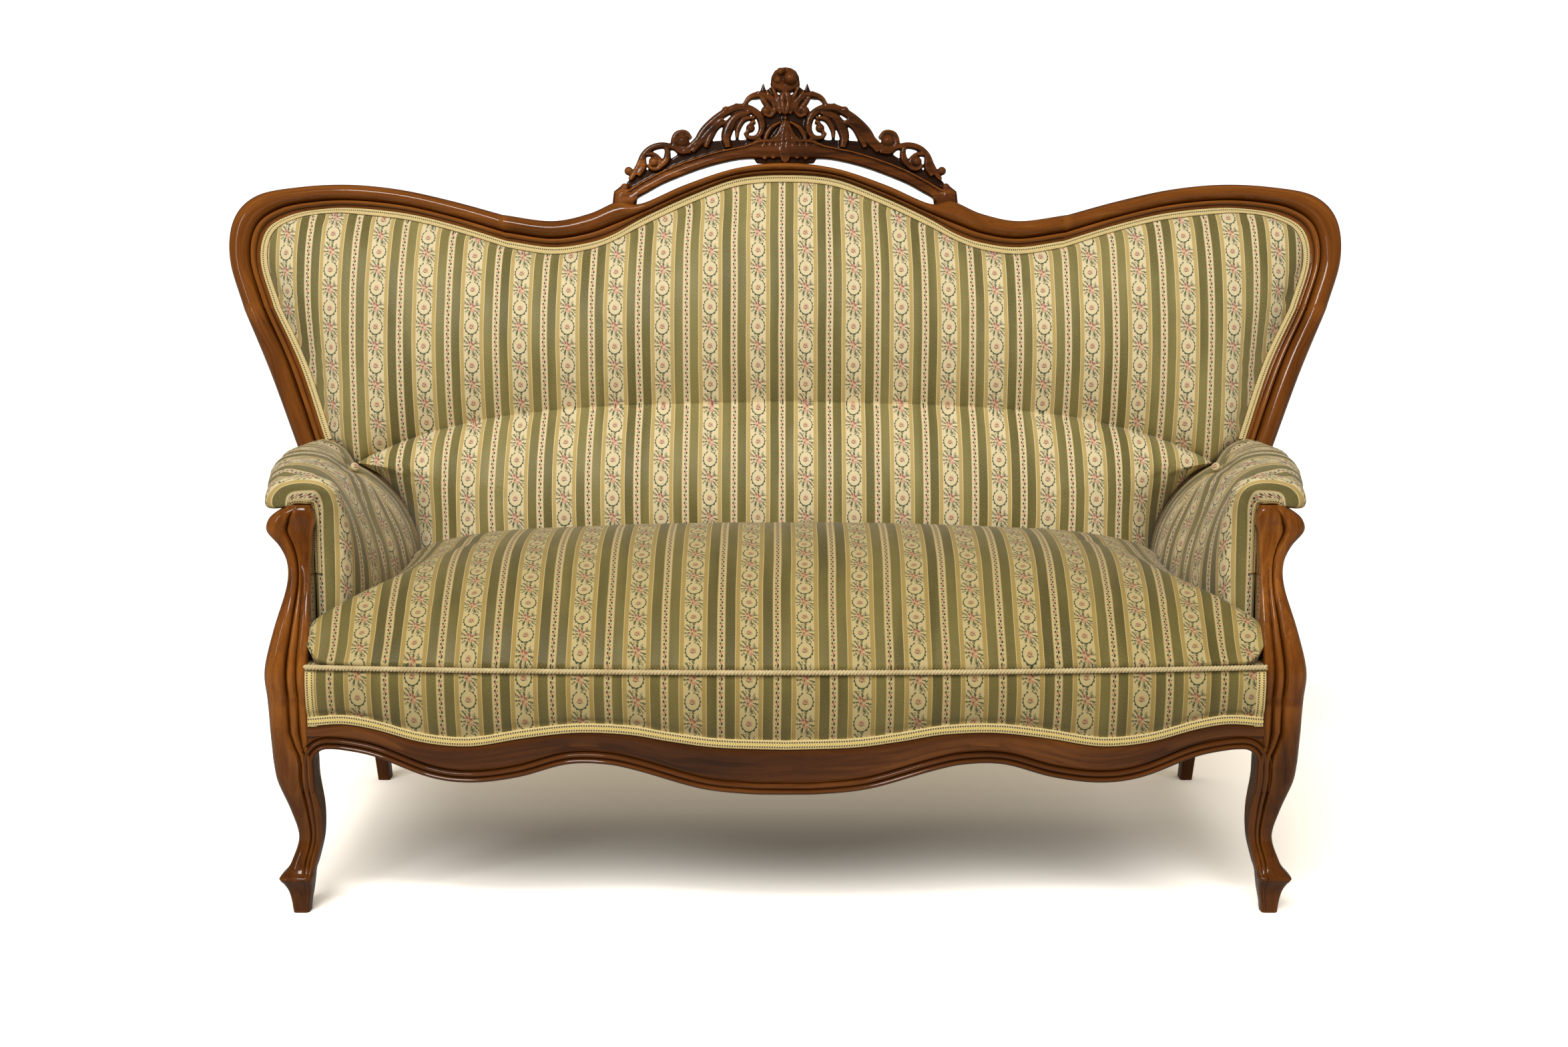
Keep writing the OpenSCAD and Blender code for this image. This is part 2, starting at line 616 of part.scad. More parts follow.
// Height of the seat's edge at a distance from front to back
seat_spine_y = blend(leg_y, seat_back_y, 0.52);
seat_base_z = seat_edge_h + soft_gap / 2;
seat_lip = 0.9 * cord_d;
function ramp(a, b, v) = max(0, min(1, (v - a) / (b - a)));
function seat_edge_z(y) = seat_edge_h + blend(
    blend(seat_lip, seat_side_rise, ramp(leg_y - seat_overhang / 2, leg_y + knee_d / 2, y)), seat_back_rise,
    ramp(leg_y + knee_d / 2, seat_back_y, y));

module seat_cushion() {
    half = seat_half_plan();
    plan = concat(half, mirrored(half));
    function inward(p, t) = blend(p, spine_of(p, 0.62 * seat_half, seat_spine_y), t);
    function row(s) = [for (p = plan) let (q = inward(p, s[0]), z = seat_edge_z(p[1]))
        [q[0], q[1], blend(z, seat_crown_h, s[1])]];
    base = [for (p = plan) let (q = inward(p, 0.025)) [q[0], q[1], seat_base_z]];
    color(weave) skin(concat([base], [for (s = crown_shares) row(s)]));
}

// Padded border in front, between the cord and the gimp
border_half = seat_half - 2 * soft_gap;
border_back = front_rail_t + knee_w / 2;
function border_ring(x) = let (y = bow_y(x), low = apron_high(x) + soft_gap, top = seat_base_z - soft_gap,
    out = y + seat_front_y) [
    [x, y + border_back, rail_top + soft_gap], [x, y + border_back, top],
    [x, out + cord_d / 2 + soft_gap, top], [x, out + 0.35 * cord_d, top - 0.6 * cord_d],
    [x, out, blend(top, low, 0.25)], [x, y + 0.8 * seat_front_y, blend(top, low, 0.6)],
    [x, y, low + seat_gimp_w + soft_gap], [x, y, low],
    [x, y + rebate - soft_gap, low], [x, y + rebate - soft_gap, rail_top + soft_gap]];

module front_border() {
    color(weave) skin([for (x = stations(border_half)) border_ring(x)], [2, 9]);
}

// Cord over the seam between the border and the seat
cord_sides = 6;
function cord_ring(x) = [for (k = [0 : cord_sides - 1]) let (a = 360 * k / cord_sides)
    [x, bow_y(x) + seat_front_y + cord_d / 2 * cos(a), seat_edge_h + cord_d / 2 * sin(a)]];

module seat_cord() {
    color(trim) skin([for (x = stations(border_half)) cord_ring(x)]);
}

module seat_gimp() {
    function gimp_ring(x) = let (y = bow_y(x) - soft_gap, z = apron_high(x) + soft_gap)
        [[x, y, z], [x, y, z + seat_gimp_w], [x, y - gimp_t, z + seat_gimp_w], [x, y - gimp_t, z]];
    color(trim) skin([for (x = stations(border_half)) gimp_ring(x)]);
}

// A point that far inside the inner edge of the back frame, on its plane
function inset_point(e, d) = let (
    outer = [e[0] * half_w, e[1] * shoulder_h],
    inner = [e[2] * half_w, e[3] * shoulder_h])
    inner + (inner - outer) * d / norm(inner - outer);
function inset_line(list, d) = [for (e = list) inset_point(e, d)];
function every(list, step, first) = [for (i = [first : step : len(list) - 1]) list[i]];

arch_half = [for (i = [0 : floor(len(arch_curve) / 2)]) arch_curve[i]];
frame_half = concat(every(stile_curve, 2, 0), every(corner_curve, 2, 1), every(arch_half, 2, 1));
inner_n = (mould_shares[2][1] - 1) * frame_t;

// Crease over the lumbar roll, and the seams between that roll and the arm pads
crease_shares = [[0.80, -0.02], [0.72, 0.12], [0.55, 0.42], [0.3, 0.86], [0, 1]];
crease_drop = 0.09 * crease_h;
function crease_point(s, gap) = [s[0] * half_w, crease_h - crease_drop * (1 - s[1]) + gap];
seam_shares = [[0, 0.2], [0, 0.33], [0.02, 0.52], [0.15, 0.67], [0.36, 0.8], [0.56, 0.885]];

// A crowned pad on the back: the outline, the height of its edge at each point, its spine and crown
module crowned_back(outline, edge_n, spine_half, spine_z, crown) {
    all = concat(outline, mirrored(outline));
    levels = concat(edge_n, [for (i = [len(edge_n) - 2 : -1 : 1]) edge_n[i]]);
    function inward(p, t) = blend(p, spine_of(p, spine_half, spine_z), t);
    function row(s) = [for (i = [0 : len(all) - 1]) let (q = inward(all[i], s[0]))
        on_plane(q[0], q[1], blend(levels[i], crown, s[1]))];
    base = [for (p = all) on_plane(p[0], p[1], -pad_back)];
    color(weave) skin(concat([base], [for (s = crown_shares) row(s)]));
}

module back_pad() {
    crease = [for (i = [4 : -1 : 0]) crease_point(crease_shares[i], quirk / 2)];
    edge = inset_line(every(frame_half, 1, 1), gimp_w + 5 * soft_gap);
    crowned_back(concat(crease, edge), concat([for (p = crease) crease_proud], [for (p = edge) inner_n]),
        0.66 * half_w, 0.775 * shoulder_h, back_crown);
}

module lumbar_pad() {
    seams = [for (s = seam_shares) let (p = arm_point(s, seam_in, arm_pad_back_out))
        [p[0] - quirk / 2, p[1] + quirk / 2]];
    base = [[0, seams[0][1]], [0.3 * half_w, seams[0][1]]];
    crease = [for (i = [1 : 4]) crease_point(crease_shares[i], -quirk / 2)];
    crowned_back(concat(base, seams, crease),
        concat([for (p = base) 0], [for (p = seams) inner_n], [for (p = crease) crease_proud]),
        0.46 * half_w, blend(seams[0][1], crease_h, 0.5), lumbar_crown);
}

// Braid round the inner edge of the back frame
function braid_ring(e) = let (a = inset_point(e, 3 * soft_gap), b = inset_point(e, 3 * soft_gap + gimp_w))
    [on_plane(a[0], a[1], inner_n), on_plane(b[0], b[1], inner_n),
        on_plane(b[0], b[1], inner_n + gimp_t), on_plane(a[0], a[1], inner_n + gimp_t)];

module back_gimp() {
    color(trim) skin([for (e = concat(frame_half, flip_edges(frame_half))) braid_ring(e)]);
}

// Braid on an arm: a strip under the pad outside, and one down its inner front edge
module right_arm_gimp() {
    function strip_ring(t) = let (y = blend(arm_front_y + rail_t / 3, plane_y(support_h) - 2 * quirk, t),
        x = arm_x(y) + arm_rail_w + 2 * soft_gap + cloth_t, top = support_h)
        [[x, y, top - gimp_w], [x, y, top], [x + gimp_t, y, top], [x + gimp_t, y, top - gimp_w]];
    low = seat_edge_h + 1.7 * seat_side_rise;
    color(trim) skin([for (i = [0 : 4]) strip_ring(i / 4)]);
    color(trim) translate([arm_inner_x(arm_front_y + gimp_w) - gimp_t, arm_front_y, low])
        cube([gimp_t, gimp_w, blend(rail_top, arm_h, arm_front_shares[2][1]) - low]);
}

module left_arm_gimp() {
    left_of() right_arm_gimp();
}

// Covered buttons, each where the arm pad meets the back
button_share = 0.86;
module arm_buttons() {
    ring = pad_ring(button_share, 0);
    p = (ring[1] + ring[2]) / 2;
    d = ring[2] - ring[1];
    tilt = atan2(d[2], d[0]);
    color(weave) for (side = [0, 1]) mirror([side, 0, 0])
        translate(p) rotate([0, -tilt, 0]) translate([0, 0, 5 * soft_gap]) intersection() {
            cylinder(d = button_d, h = button_d / 3);
            translate([0, 0, button_d / 3 - button_d * 0.7]) sphere(button_d * 0.7);
        }
}

// Outside back: one flat cloth behind the frame, from the seat rail to the top rail
function middle_line(list) = [for (e = list) [(e[0] + e[2]) / 2 * half_w, (e[1] + e[3]) / 2 * shoulder_h]];
function on_face(line) = [for (p = line) [p[0], up_plane(p[1])]];
module outside_back() {
    low = rail_top + frame_t / 3;
    line = on_face(concat([[0, low], [post_in + post_w / 2, low]], middle_line(frame_half)));
    color(weave) on_back(-frame_t - soft_gap - cloth_t, cloth_t) polygon(concat(line, mirrored(line)));
}

// Hessian behind the back padding, and the webbing behind it
module back_hessian() {
    line = on_face(concat([[0, lower_rail_z], [post_in_x(lower_rail_z) - quirk, lower_rail_z]],
        inset_line(frame_half, quirk / 2)));
    color(cloth) on_back(-web_back + soft_gap, cloth_t) polygon(concat(line, mirrored(line)));
}

// Height of the frame's inner edge over a place on the back, and the half width at a height
top_edge = [for (i = [len(arch_half) - 1 : -1 : 0]) let (e = arch_half[i])
    [e[2] * half_w, e[3] * shoulder_h]];
corner_edge = [for (e = corner_curve) if (e[2] < 0.8) [e[2] * half_w, e[3] * shoulder_h]];
inner_top = concat(top_edge, [for (i = [len(corner_edge) - 2 : -1 : 0]) corner_edge[i]]);
inner_side = [for (e = stile_curve) [e[3] * shoulder_h, e[2] * half_w]];
web_cols_share = 0.27;
web_rows_shares = [0.2, 0.8];

module back_webbing() {
    low = lower_rail_z + quirk;
    color(cloth) {
        for (i = [-2 : 2]) let (x = i * web_cols_share * half_w,
            top = min(lookup(abs(x) - web_w / 2, inner_top), lookup(abs(x) + web_w / 2, inner_top)) - quirk)
            on_back(-web_back - web_t, web_t) translate([x - web_w / 2, up_plane(low)])
                square([web_w, up_plane(top) - up_plane(low)]);
        for (share = web_rows_shares) let (
            z = blend(stile_shares[0][3], stile_shares[2][3], share) * shoulder_h,
            x = lookup(z - web_w / 2, inner_side) - quirk)
            on_back(-web_back - 2 * web_t, web_t) translate([-x, up_plane(z) - web_w / 2])
                square([2 * x, web_w]);
    }
}

// Springs stand in rows on the crossings of the seat webbing
spring_pitch_x = 2 * 0.82 * seat_half / spring_cols;
spring_front_y = leg_y + border_back + spring_d / 2 - rail_bow / 2;
spring_pitch_y = (back_rail_y - spring_d / 2 - knee_w / 2 - spring_front_y) / (spring_rows - 1);
spring_top = seat_base_z - 2 * soft_gap - cloth_t;
spring_xs = [for (i = [0 : spring_cols - 1]) (i - (spring_cols - 1) / 2) * spring_pitch_x];
spring_ys = [for (j = [0 : spring_rows - 1]) spring_front_y + j * spring_pitch_y];
spring_sides = 4;
spring_rings = 8;

module spring() {
    low = wire_d / 2;
    high = spring_top - rail_bottom - soft_gap - wire_d / 2;
    function coil_ring(i) = let (t = i / (spring_turns * spring_rings), a = 360 * i / spring_rings,
        r = (blend(spring_d, spring_waist_d, sin(180 * t)) - wire_d) / 2, z = blend(low, high, t))
        [for (k = [0 : spring_sides - 1])
            let (b = 360 * (k + 0.5) / spring_sides, q = r + wire_d / 2 * cos(b))
            [q * cos(a), q * sin(a), z + wire_d / 2 * sin(b)]];
    skin([for (i = [spring_turns * spring_rings : -1 : 0]) coil_ring(i)]);
}

module seat_springs() {
    color("dimgray") for (x = spring_xs) for (y = spring_ys)
        translate([x, y, rail_bottom + soft_gap]) spring();
}

module seat_webbing() {
    color(cloth) {
        for (y = spring_ys) let (x = side_x(y) + 0.8 * rail_t)
            translate([-x, y - web_w / 2, rail_bottom - web_t]) cube([2 * x, web_w, web_t]);
        for (x = spring_xs) let (y = bow_y(x) + front_rail_t + quirk)
            translate([x - web_w / 2, y, rail_bottom - 2 * web_t])
                cube([web_w, back_rail_y + 0.8 * rail_t - y, web_t]);
    }
}

// Hessian over the springs, under the seat's stuffing
module spring_hessian() {
    front = border_back + soft_gap;
    half = concat([for (t = [0 : 0.25 : 0.75]) [t * seat_half, bow_y(t * seat_half) + front]],
        [[0.92 * seat_half, leg_y + border_back + soft_gap]], beside_arm(quirk),
        [[arm_inner_x(seat_back_y) - quirk, seat_back_y - quirk], [0, seat_back_y - quirk]]);
    color(cloth) at_height(seat_base_z - soft_gap - cloth_t, cloth_t) polygon(concat(half, mirrored(half)));
}

// Cloth that closes the seat from below
module dust_cover() {
    side = 0.7 * rail_t;
    half = concat([for (p = back_of_rail(knee_x - soft_gap)) if (p[0] >= 0) [p[0], p[1] + soft_gap]],
        [[knee_x - soft_gap, side_front_y + soft_gap], [side_front_x + side, side_front_y + soft_gap],
            [side_back_x + side, back_y - quirk], [post_in - quirk, back_y - quirk],
            [post_in - quirk, back_rail_y + side], [0, back_rail_y + side]]);
    color("dimgray") at_height(rail_bottom - 2 * web_t - soft_gap - cloth_t, cloth_t)
        polygon(concat(half, mirrored(half)));
}

// Crest: a bowed rail over two slots, with pierced scrolls, a centre plate and a finial.
// Places are shares of half its length across, and of its rise above the arch rail.
arch_top = arch_share * shoulder_h;
crest_back = 0.8 * frame_t;
arch_table = [for (i = [len(arch_half) - 1 : -1 : 0]) let (e = arch_half[i])
    [e[0] * half_w, e[1] * shoulder_h]];
crest_n = carving_t / 2 - crest_back;
function crest_at(s) = [s[0] * crest_half, up_plane(arch_top + s[1] * crest_h - crest_n * sin(back_rake))];
function crest_line(list) = [for (s = list) crest_at(s)];

rail_foot_shares = [1, 0.97, 0.94, 0.91, 0.88];
rail_under_shares = [[0.86, -0.36], [0.76, -0.27], [0.61, -0.145], [0.44, -0.045], [0.27, 0.005],
    [0.18, 0.015]];
rail_over_shares = [[0.18, 0.2], [0.27, 0.165], [0.44, 0.12], [0.61, 0.09], [0.7, 0.03], [0.76, -0.03],
    [0.86, -0.1], [0.92, -0.15], [0.97, -0.185], [1, -0.25]];
plate_shares = [[0.2, 0.03], [0.165, 0.22], [0.14, 0.36], [0.15, 0.48], [0.1, 0.64], [0.085, 0.77],
    [0.05, 0.83], [0, 0.85]];
leaf_shares = [[0.62, -0.03], [0.61, 0.16], [0.57, 0.23], [0.54, 0.29], [0.5, 0.33], [0.465, 0.31],
    [0.43, 0.39], [0.4, 0.48], [0.37, 0.54], [0.345, 0.48], [0.365, 0.36], [0.375, 0.25], [0.36, 0.12],
    [0.44, 0.06]];
leaf_hole_shares = [[0.45, 0.22], [0.44, 0.31], [0.415, 0.36], [0.405, 0.29], [0.42, 0.21]];
tip_shares = [[0.08, 0.62], [0.13, 0.66], [0.175, 0.745], [0.15, 0.76], [0.14, 0.84], [0.11, 0.8],
    [0.07, 0.8]];
husk_shares = [[0, 0.46], [0.045, 0.4], [0.09, 0.26], [0.085, 0.12], [0.05, 0.05], [0, 0.03]];

// Scrolls: places along each, and the share of the widest stroke there
low_scroll_shares = [[0.945, -0.12, 0.7], [0.91, -0.05, 0.7], [0.885, 0.03, 0.8], [0.855, 0.11, 0.9],
    [0.8, 0.16, 1], [0.73, 0.18, 0.9], [0.66, 0.175, 0.9], [0.625, 0.19, 1]];
low_curl_shares = [[0.86, 0.11, 0.7], [0.83, 0.06, 0.8], [0.8, 0, 0.8]];
big_scroll_shares = [[0.355, 0.12, 0.8], [0.375, 0.25, 0.9], [0.37, 0.37, 0.9], [0.325, 0.48, 1],
    [0.25, 0.54, 1], [0.18, 0.49, 0.9], [0.155, 0.39, 0.8], [0.185, 0.32, 0.7], [0.205, 0.34, 0.6]];
inner_leaf_shares = [[0.24, 0.15, 1.2], [0.29, 0.24, 1.1], [0.3, 0.32, 0.9], [0.27, 0.4, 0.5]];
top_scroll_shares = [[0.32, 0.55, 0.6], [0.245, 0.61, 0.8], [0.2, 0.7, 0.9], [0.14, 0.715, 0.9],
    [0.08, 0.64, 0.8], [0.08, 0.56, 0.8], [0.115, 0.545, 0.7]];

// The outline of a stroke of changing width along a smooth line
function stroke(list) = let (
    line = [for (s = smooth(list, 2)) concat(crest_at(s), [s[2] * stroke_w / 2])],
    n = len(line),
    side = [for (i = [0 : n - 1]) let (d = near(line, i + 1) - near(line, i - 1))
        [-d[1], d[0]] * line[i][2] / norm([d[0], d[1]])])
    concat([for (i = [0 : n - 1]) [line[i][0], line[i][1]] + side[i]],
        [for (i = [n - 1 : -1 : 0]) [line[i][0], line[i][1]] - side[i]]);

// Balls at the ends of the scrolls: places, and shares of the largest ball's radius
ball_shares = [[0.948, -0.12, 0.75], [0.8, -0.01, 0.8], [0.63, 0.185, 1], [0.37, 0.56, 0.62],
    [0.305, 0.585, 0.5], [0.205, 0.345, 0.75], [0.115, 0.55, 0.75]];
bulb_r = 1.2 * scroll_ball_r;

module crest_ball(share, r) {
    p = crest_at(share);
    translate([p[0], p[1], 0]) sphere(r);
}

// A point of the crest that rests on the arch rail
function on_arch(share) = [share * crest_half, up_plane(lookup(share * crest_half, arch_table)) + soft_gap];

module crest_rail_plan() {
    foot = [for (x = rail_foot_shares) on_arch(x)];
    polygon(concat(foot, crest_line(concat(rail_under_shares, rail_over_shares))));
}

module crest_half_plan() {
    crest_rail_plan();
    difference() {
        polygon(crest_line(leaf_shares));
        polygon(crest_line(leaf_hole_shares));
    }
    polygon(crest_line(tip_shares));
    for (s = [low_scroll_shares, low_curl_shares, big_scroll_shares, inner_leaf_shares, top_scroll_shares])
        polygon(stroke(s));
}

module crest_plate_plan() {
    line = concat([for (x = [0 : 0.05 : 0.2]) on_arch(x)], crest_line(plate_shares));
    polygon(concat(line, mirrored(line)));
}

module crest_carving() {
    front = carving_t - crest_back;
    husk = crest_line(husk_shares);
    finial_n = (front - carving_t / 4 - crest_n) * sin(back_rake);
    color(wood) {
        on_back(-crest_back, carving_t) {
            crest_plate_plan();
            for (side = [0, 1]) mirror([side, 0]) crest_half_plan();
        }
        on_back(front, crest_rail_t - carving_t) for (side = [0, 1]) mirror([side, 0]) crest_rail_plan();
        on_back(front, carving_t / 3) polygon(concat(husk, mirrored(husk)));
        translate(on_plane(0, rail_top, front - carving_t / 4)) rotate([90 - back_rake, 0, 0]) {
            for (side = [0, 1]) mirror([side, 0, 0]) for (b = ball_shares)
                crest_ball([b[0], b[1]], b[2] * scroll_ball_r);
            crest_ball([0, 0.62], bulb_r);
            crest_ball([-0.015, 1 - (bulb_r + finial_n) / crest_h], bulb_r);
            crest_ball([0.05, 0.88], bead_r);
        }
    }
}

front_rail();
left_front_leg();
right_front_leg();
left_arm_support();
right_arm_support();
left_back_post();
right_back_post();
left_side_rail();
right_side_rail();
back_seat_rail();
web_batten();
corner_blocks();
block_screws();
left_shoulder_rail();
right_shoulder_rail();
arch_rail();
crest_carving();
left_arm_rail();
right_arm_rail();
lower_back_rail();
seat_webbing();
seat_springs();
spring_hessian();
seat_cushion();
front_border();
seat_cord();
seat_gimp();
back_webbing();
back_hessian();
back_pad();
lumbar_pad();
back_gimp();
left_arm_pad();
right_arm_pad();
left_inside_arm();
right_inside_arm();
left_arm_gimp();
right_arm_gimp();
arm_buttons();
outside_back();
left_outside_arm();
right_outside_arm();
dust_cover();
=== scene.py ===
import math

import bmesh
import bpy
import numpy as np
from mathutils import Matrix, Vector


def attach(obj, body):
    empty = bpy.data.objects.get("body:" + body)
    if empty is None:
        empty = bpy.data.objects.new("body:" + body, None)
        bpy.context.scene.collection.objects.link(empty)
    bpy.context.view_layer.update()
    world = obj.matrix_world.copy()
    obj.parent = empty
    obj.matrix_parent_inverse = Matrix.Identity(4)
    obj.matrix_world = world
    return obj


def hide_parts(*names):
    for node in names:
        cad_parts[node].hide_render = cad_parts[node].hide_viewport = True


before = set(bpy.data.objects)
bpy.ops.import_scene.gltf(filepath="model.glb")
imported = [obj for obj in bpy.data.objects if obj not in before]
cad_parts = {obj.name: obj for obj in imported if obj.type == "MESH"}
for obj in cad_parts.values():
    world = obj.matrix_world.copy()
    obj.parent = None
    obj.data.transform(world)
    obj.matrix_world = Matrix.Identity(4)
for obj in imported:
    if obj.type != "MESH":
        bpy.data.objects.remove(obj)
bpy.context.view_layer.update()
scene = bpy.context.scene
print("frame loaded")

# Sizes that several pieces share, in metres
sofa = dict(
    halfWidth=0.910, shoulderHeight=1.0116, railTop=0.295, railBottom=0.237, legY=-0.364, backY=0.199,
    kneeX=0.655, kneeW=0.059, kneeD=0.060, legH=0.304, supportH=0.568, supportLean=0.062, supportBack=0.88,
    railBow=0.035, rake=math.radians(11), frameT=0.046, frameEdge=0.62, gap=0.0003, quirk=0.003,
    seatEdge=0.356, seatCrown=0.469, seatPast=0.0025, armH=0.614, creaseH=0.658)
armFrontY = sofa["legY"] + sofa["supportBack"] * sofa["kneeD"] + sofa["supportLean"] + 2 * sofa["gap"]
seatHalf = sofa["kneeX"] + sofa["seatPast"]


def mix(a, b, t):
    return a + (b - a) * t


def ramp(a, b, v):
    # 0 up to a, and 1 from b on
    return np.clip((v - a) / (b - a), 0, 1)


def bell(v, middle, width):
    return np.exp(-((v - middle) / width) ** 2)


def smooth(rows, steps):
    # A curve through the rows, with steps points from each row to the next
    rows = np.asarray(rows, float)
    padded = np.vstack([2 * rows[0] - rows[1], rows, 2 * rows[-1] - rows[-2]])
    out = []
    for i in range(1, len(padded) - 2):
        a, b, c, d = padded[i - 1:i + 3]
        for k in range(steps):
            t = k / steps
            out.append(0.5 * (2 * b + (c - a) * t + (2 * a - 5 * b + 4 * c - d) * t * t
                              + (3 * b - a - 3 * c + d) * t ** 3))
    return np.vstack([out, rows[-1]])


def lookup(x, table):
    table = np.asarray(table, float)
    return np.interp(x, table[:, 0], table[:, 1])


def runs(points):
    # Distance along a line of points, from its start
    steps = np.linalg.norm(np.diff(points, axis=0), axis=1)
    return np.concatenate([[0], np.cumsum(steps)])


def resample(points, count):
    points = np.asarray(points, float)
    along = runs(points)
    at = np.linspace(0, along[-1], count)
    return np.stack([np.interp(at, along, points[:, k]) for k in range(points.shape[1])], axis=1)


def heading(points):
    # The direction of a line at each of its points
    ahead = np.gradient(points, axis=0)
    return ahead / np.linalg.norm(ahead, axis=1)[:, None]


def closed(uv):
    # The weave's coordinates round a ring, with the first column again at the end
    return np.concatenate([uv, uv[:, :1]], axis=1)


def onPlane(x, z, n):
    # A point on the leaning plane of the back, n in front of it
    rake = sofa["rake"]
    x, z, n = np.broadcast_arrays(x, z, n)
    return np.stack([x, sofa["backY"] + (z - sofa["railTop"]) * math.tan(rake) - n * math.cos(rake),
                     z + n * math.sin(rake)], axis=-1)


def bowY(x):
    return sofa["legY"] - sofa["railBow"] * (1 - (np.asarray(x) / sofa["kneeX"]) ** 2)


def finishMesh(obj, crease):
    # Outward faces, smooth shading, and sharp edges where two faces meet at a wide angle
    bm = bmesh.new()
    bm.from_mesh(obj.data)
    bmesh.ops.recalc_face_normals(bm, faces=bm.faces)
    limit = math.radians(crease)
    for face in bm.faces:
        face.smooth = True
    for edge in bm.edges:
        if len(edge.link_faces) == 2 and edge.calc_face_angle(0) > limit:
            edge.smooth = False
    bm.to_mesh(obj.data)
    bm.free()
    return obj


def linked(name, data):
    obj = bpy.data.objects.new(name, data)
    scene.collection.objects.link(obj)
    return obj


def meshObject(name, verts, faces, loopUv):
    mesh = bpy.data.meshes.new(name)
    mesh.from_pydata([tuple(map(float, v)) for v in verts], [], faces)
    layer = mesh.uv_layers.new(name="weave")
    layer.data.foreach_set("uv", np.asarray(loopUv, np.float32).ravel())
    mesh.update()
    return linked(name, mesh)


def gridFaces(rows, cols, wrap):
    # Corner numbers of a grid's faces, and the same corners as row and column
    i, j = np.meshgrid(np.arange(rows - 1), np.arange(cols if wrap else cols - 1), indexing="ij")
    i, j = i.ravel(), j.ravel()
    corners = [(i, j), (i, j + 1), (i + 1, j + 1), (i + 1, j)]
    faces = np.stack([a * cols + b % cols for a, b in corners], axis=1)
    return faces, corners


def loft(name, grid, wrap=True, caps=(True, True), uv=None, crease=38):
    # A surface over rings of points. uv has one more column than the rings when they close.
    grid = np.asarray(grid, float)
    rows, cols = grid.shape[:2]
    faces, corners = gridFaces(rows, cols, wrap)
    if uv is None:
        lengthwise = runs(grid.mean(axis=1))
        ring = grid[rows // 2]
        around = runs(np.vstack([ring, ring[:1]]) if wrap else ring)
        uv = np.stack(np.broadcast_arrays(lengthwise[:, None], around[None, :]), axis=-1)
    uv = np.asarray(uv, float)
    loopUv = np.stack([uv[a, b] for a, b in corners], axis=1).reshape(-1, 2)
    verts = grid.reshape(-1, 3)
    faces = faces.tolist()
    extraUv = []
    for row, wanted in ((0, caps[0]), (rows - 1, caps[1])):
        if wanted and wrap:
            hub = len(verts)
            verts = np.vstack([verts, grid[row].mean(axis=0)])
            for k in range(cols):
                faces.append([hub, row * cols + k, row * cols + (k + 1) % cols])
                extraUv += [uv[row, 0], uv[row, k], uv[row, k + 1]]
    if extraUv:
        loopUv = np.vstack([loopUv, extraUv])
    return finishMesh(meshObject(name, verts, faces, loopUv), crease)


def mirrorX(obj, name):
    mesh = obj.data.copy()
    coords = np.empty(len(mesh.vertices) * 3, np.float32)
    mesh.vertices.foreach_get("co", coords)
    coords[0::3] *= -1
    mesh.vertices.foreach_set("co", coords)
    mesh.flip_normals()
    mesh.update()
    return linked(name, mesh)


def joined(name, objects):
    # One object from several
    bm = bmesh.new()
    mesh = bpy.data.meshes.new(name)
    for obj in objects:
        bm.from_mesh(obj.data)
        for material in obj.data.materials:
            if material.name not in mesh.materials:
                mesh.materials.append(material)
    bm.to_mesh(mesh)
    bm.free()
    for obj in objects:
        bpy.data.objects.remove(obj)
    return linked(name, mesh)


def bake(obj):
    # Puts the result of the modifiers into the mesh
    graph = bpy.context.evaluated_depsgraph_get()
    mesh = bpy.data.meshes.new_from_object(obj.evaluated_get(graph))
    obj.modifiers.clear()
    obj.data = mesh
    return obj


def closeTop(obj, rows, cols):
    # Fills the last ring of a cover, and carries the weave across it
    bm = bmesh.new()
    bm.from_mesh(obj.data)
    bm.verts.ensure_lookup_table()
    layer = bm.loops.layers.uv["weave"]
    ring = [bm.verts[(rows - 1) * cols + k] for k in range(cols)]
    known = {vert: vert.link_loops[0][layer].uv.copy() for vert in ring}
    edges = [bm.edges.get((ring[k], ring[(k + 1) % cols])) for k in range(cols)]
    made = bmesh.ops.triangle_fill(bm, edges=edges, use_beauty=True, use_dissolve=False)
    for face in made["geom"]:
        if isinstance(face, bmesh.types.BMFace):
            face.smooth = True
            for loop in face.loops:
                loop[layer].uv = known[loop.vert]
    bmesh.ops.recalc_face_normals(bm, faces=bm.faces)
    bm.to_mesh(obj.data)
    bm.free()
    return obj


cloth = dict(
    frames=22, quality=5, mass=0.05, tension=12.0, shear=6.0, bending=0.8, damping=15, drag=4, slack=-0.006)


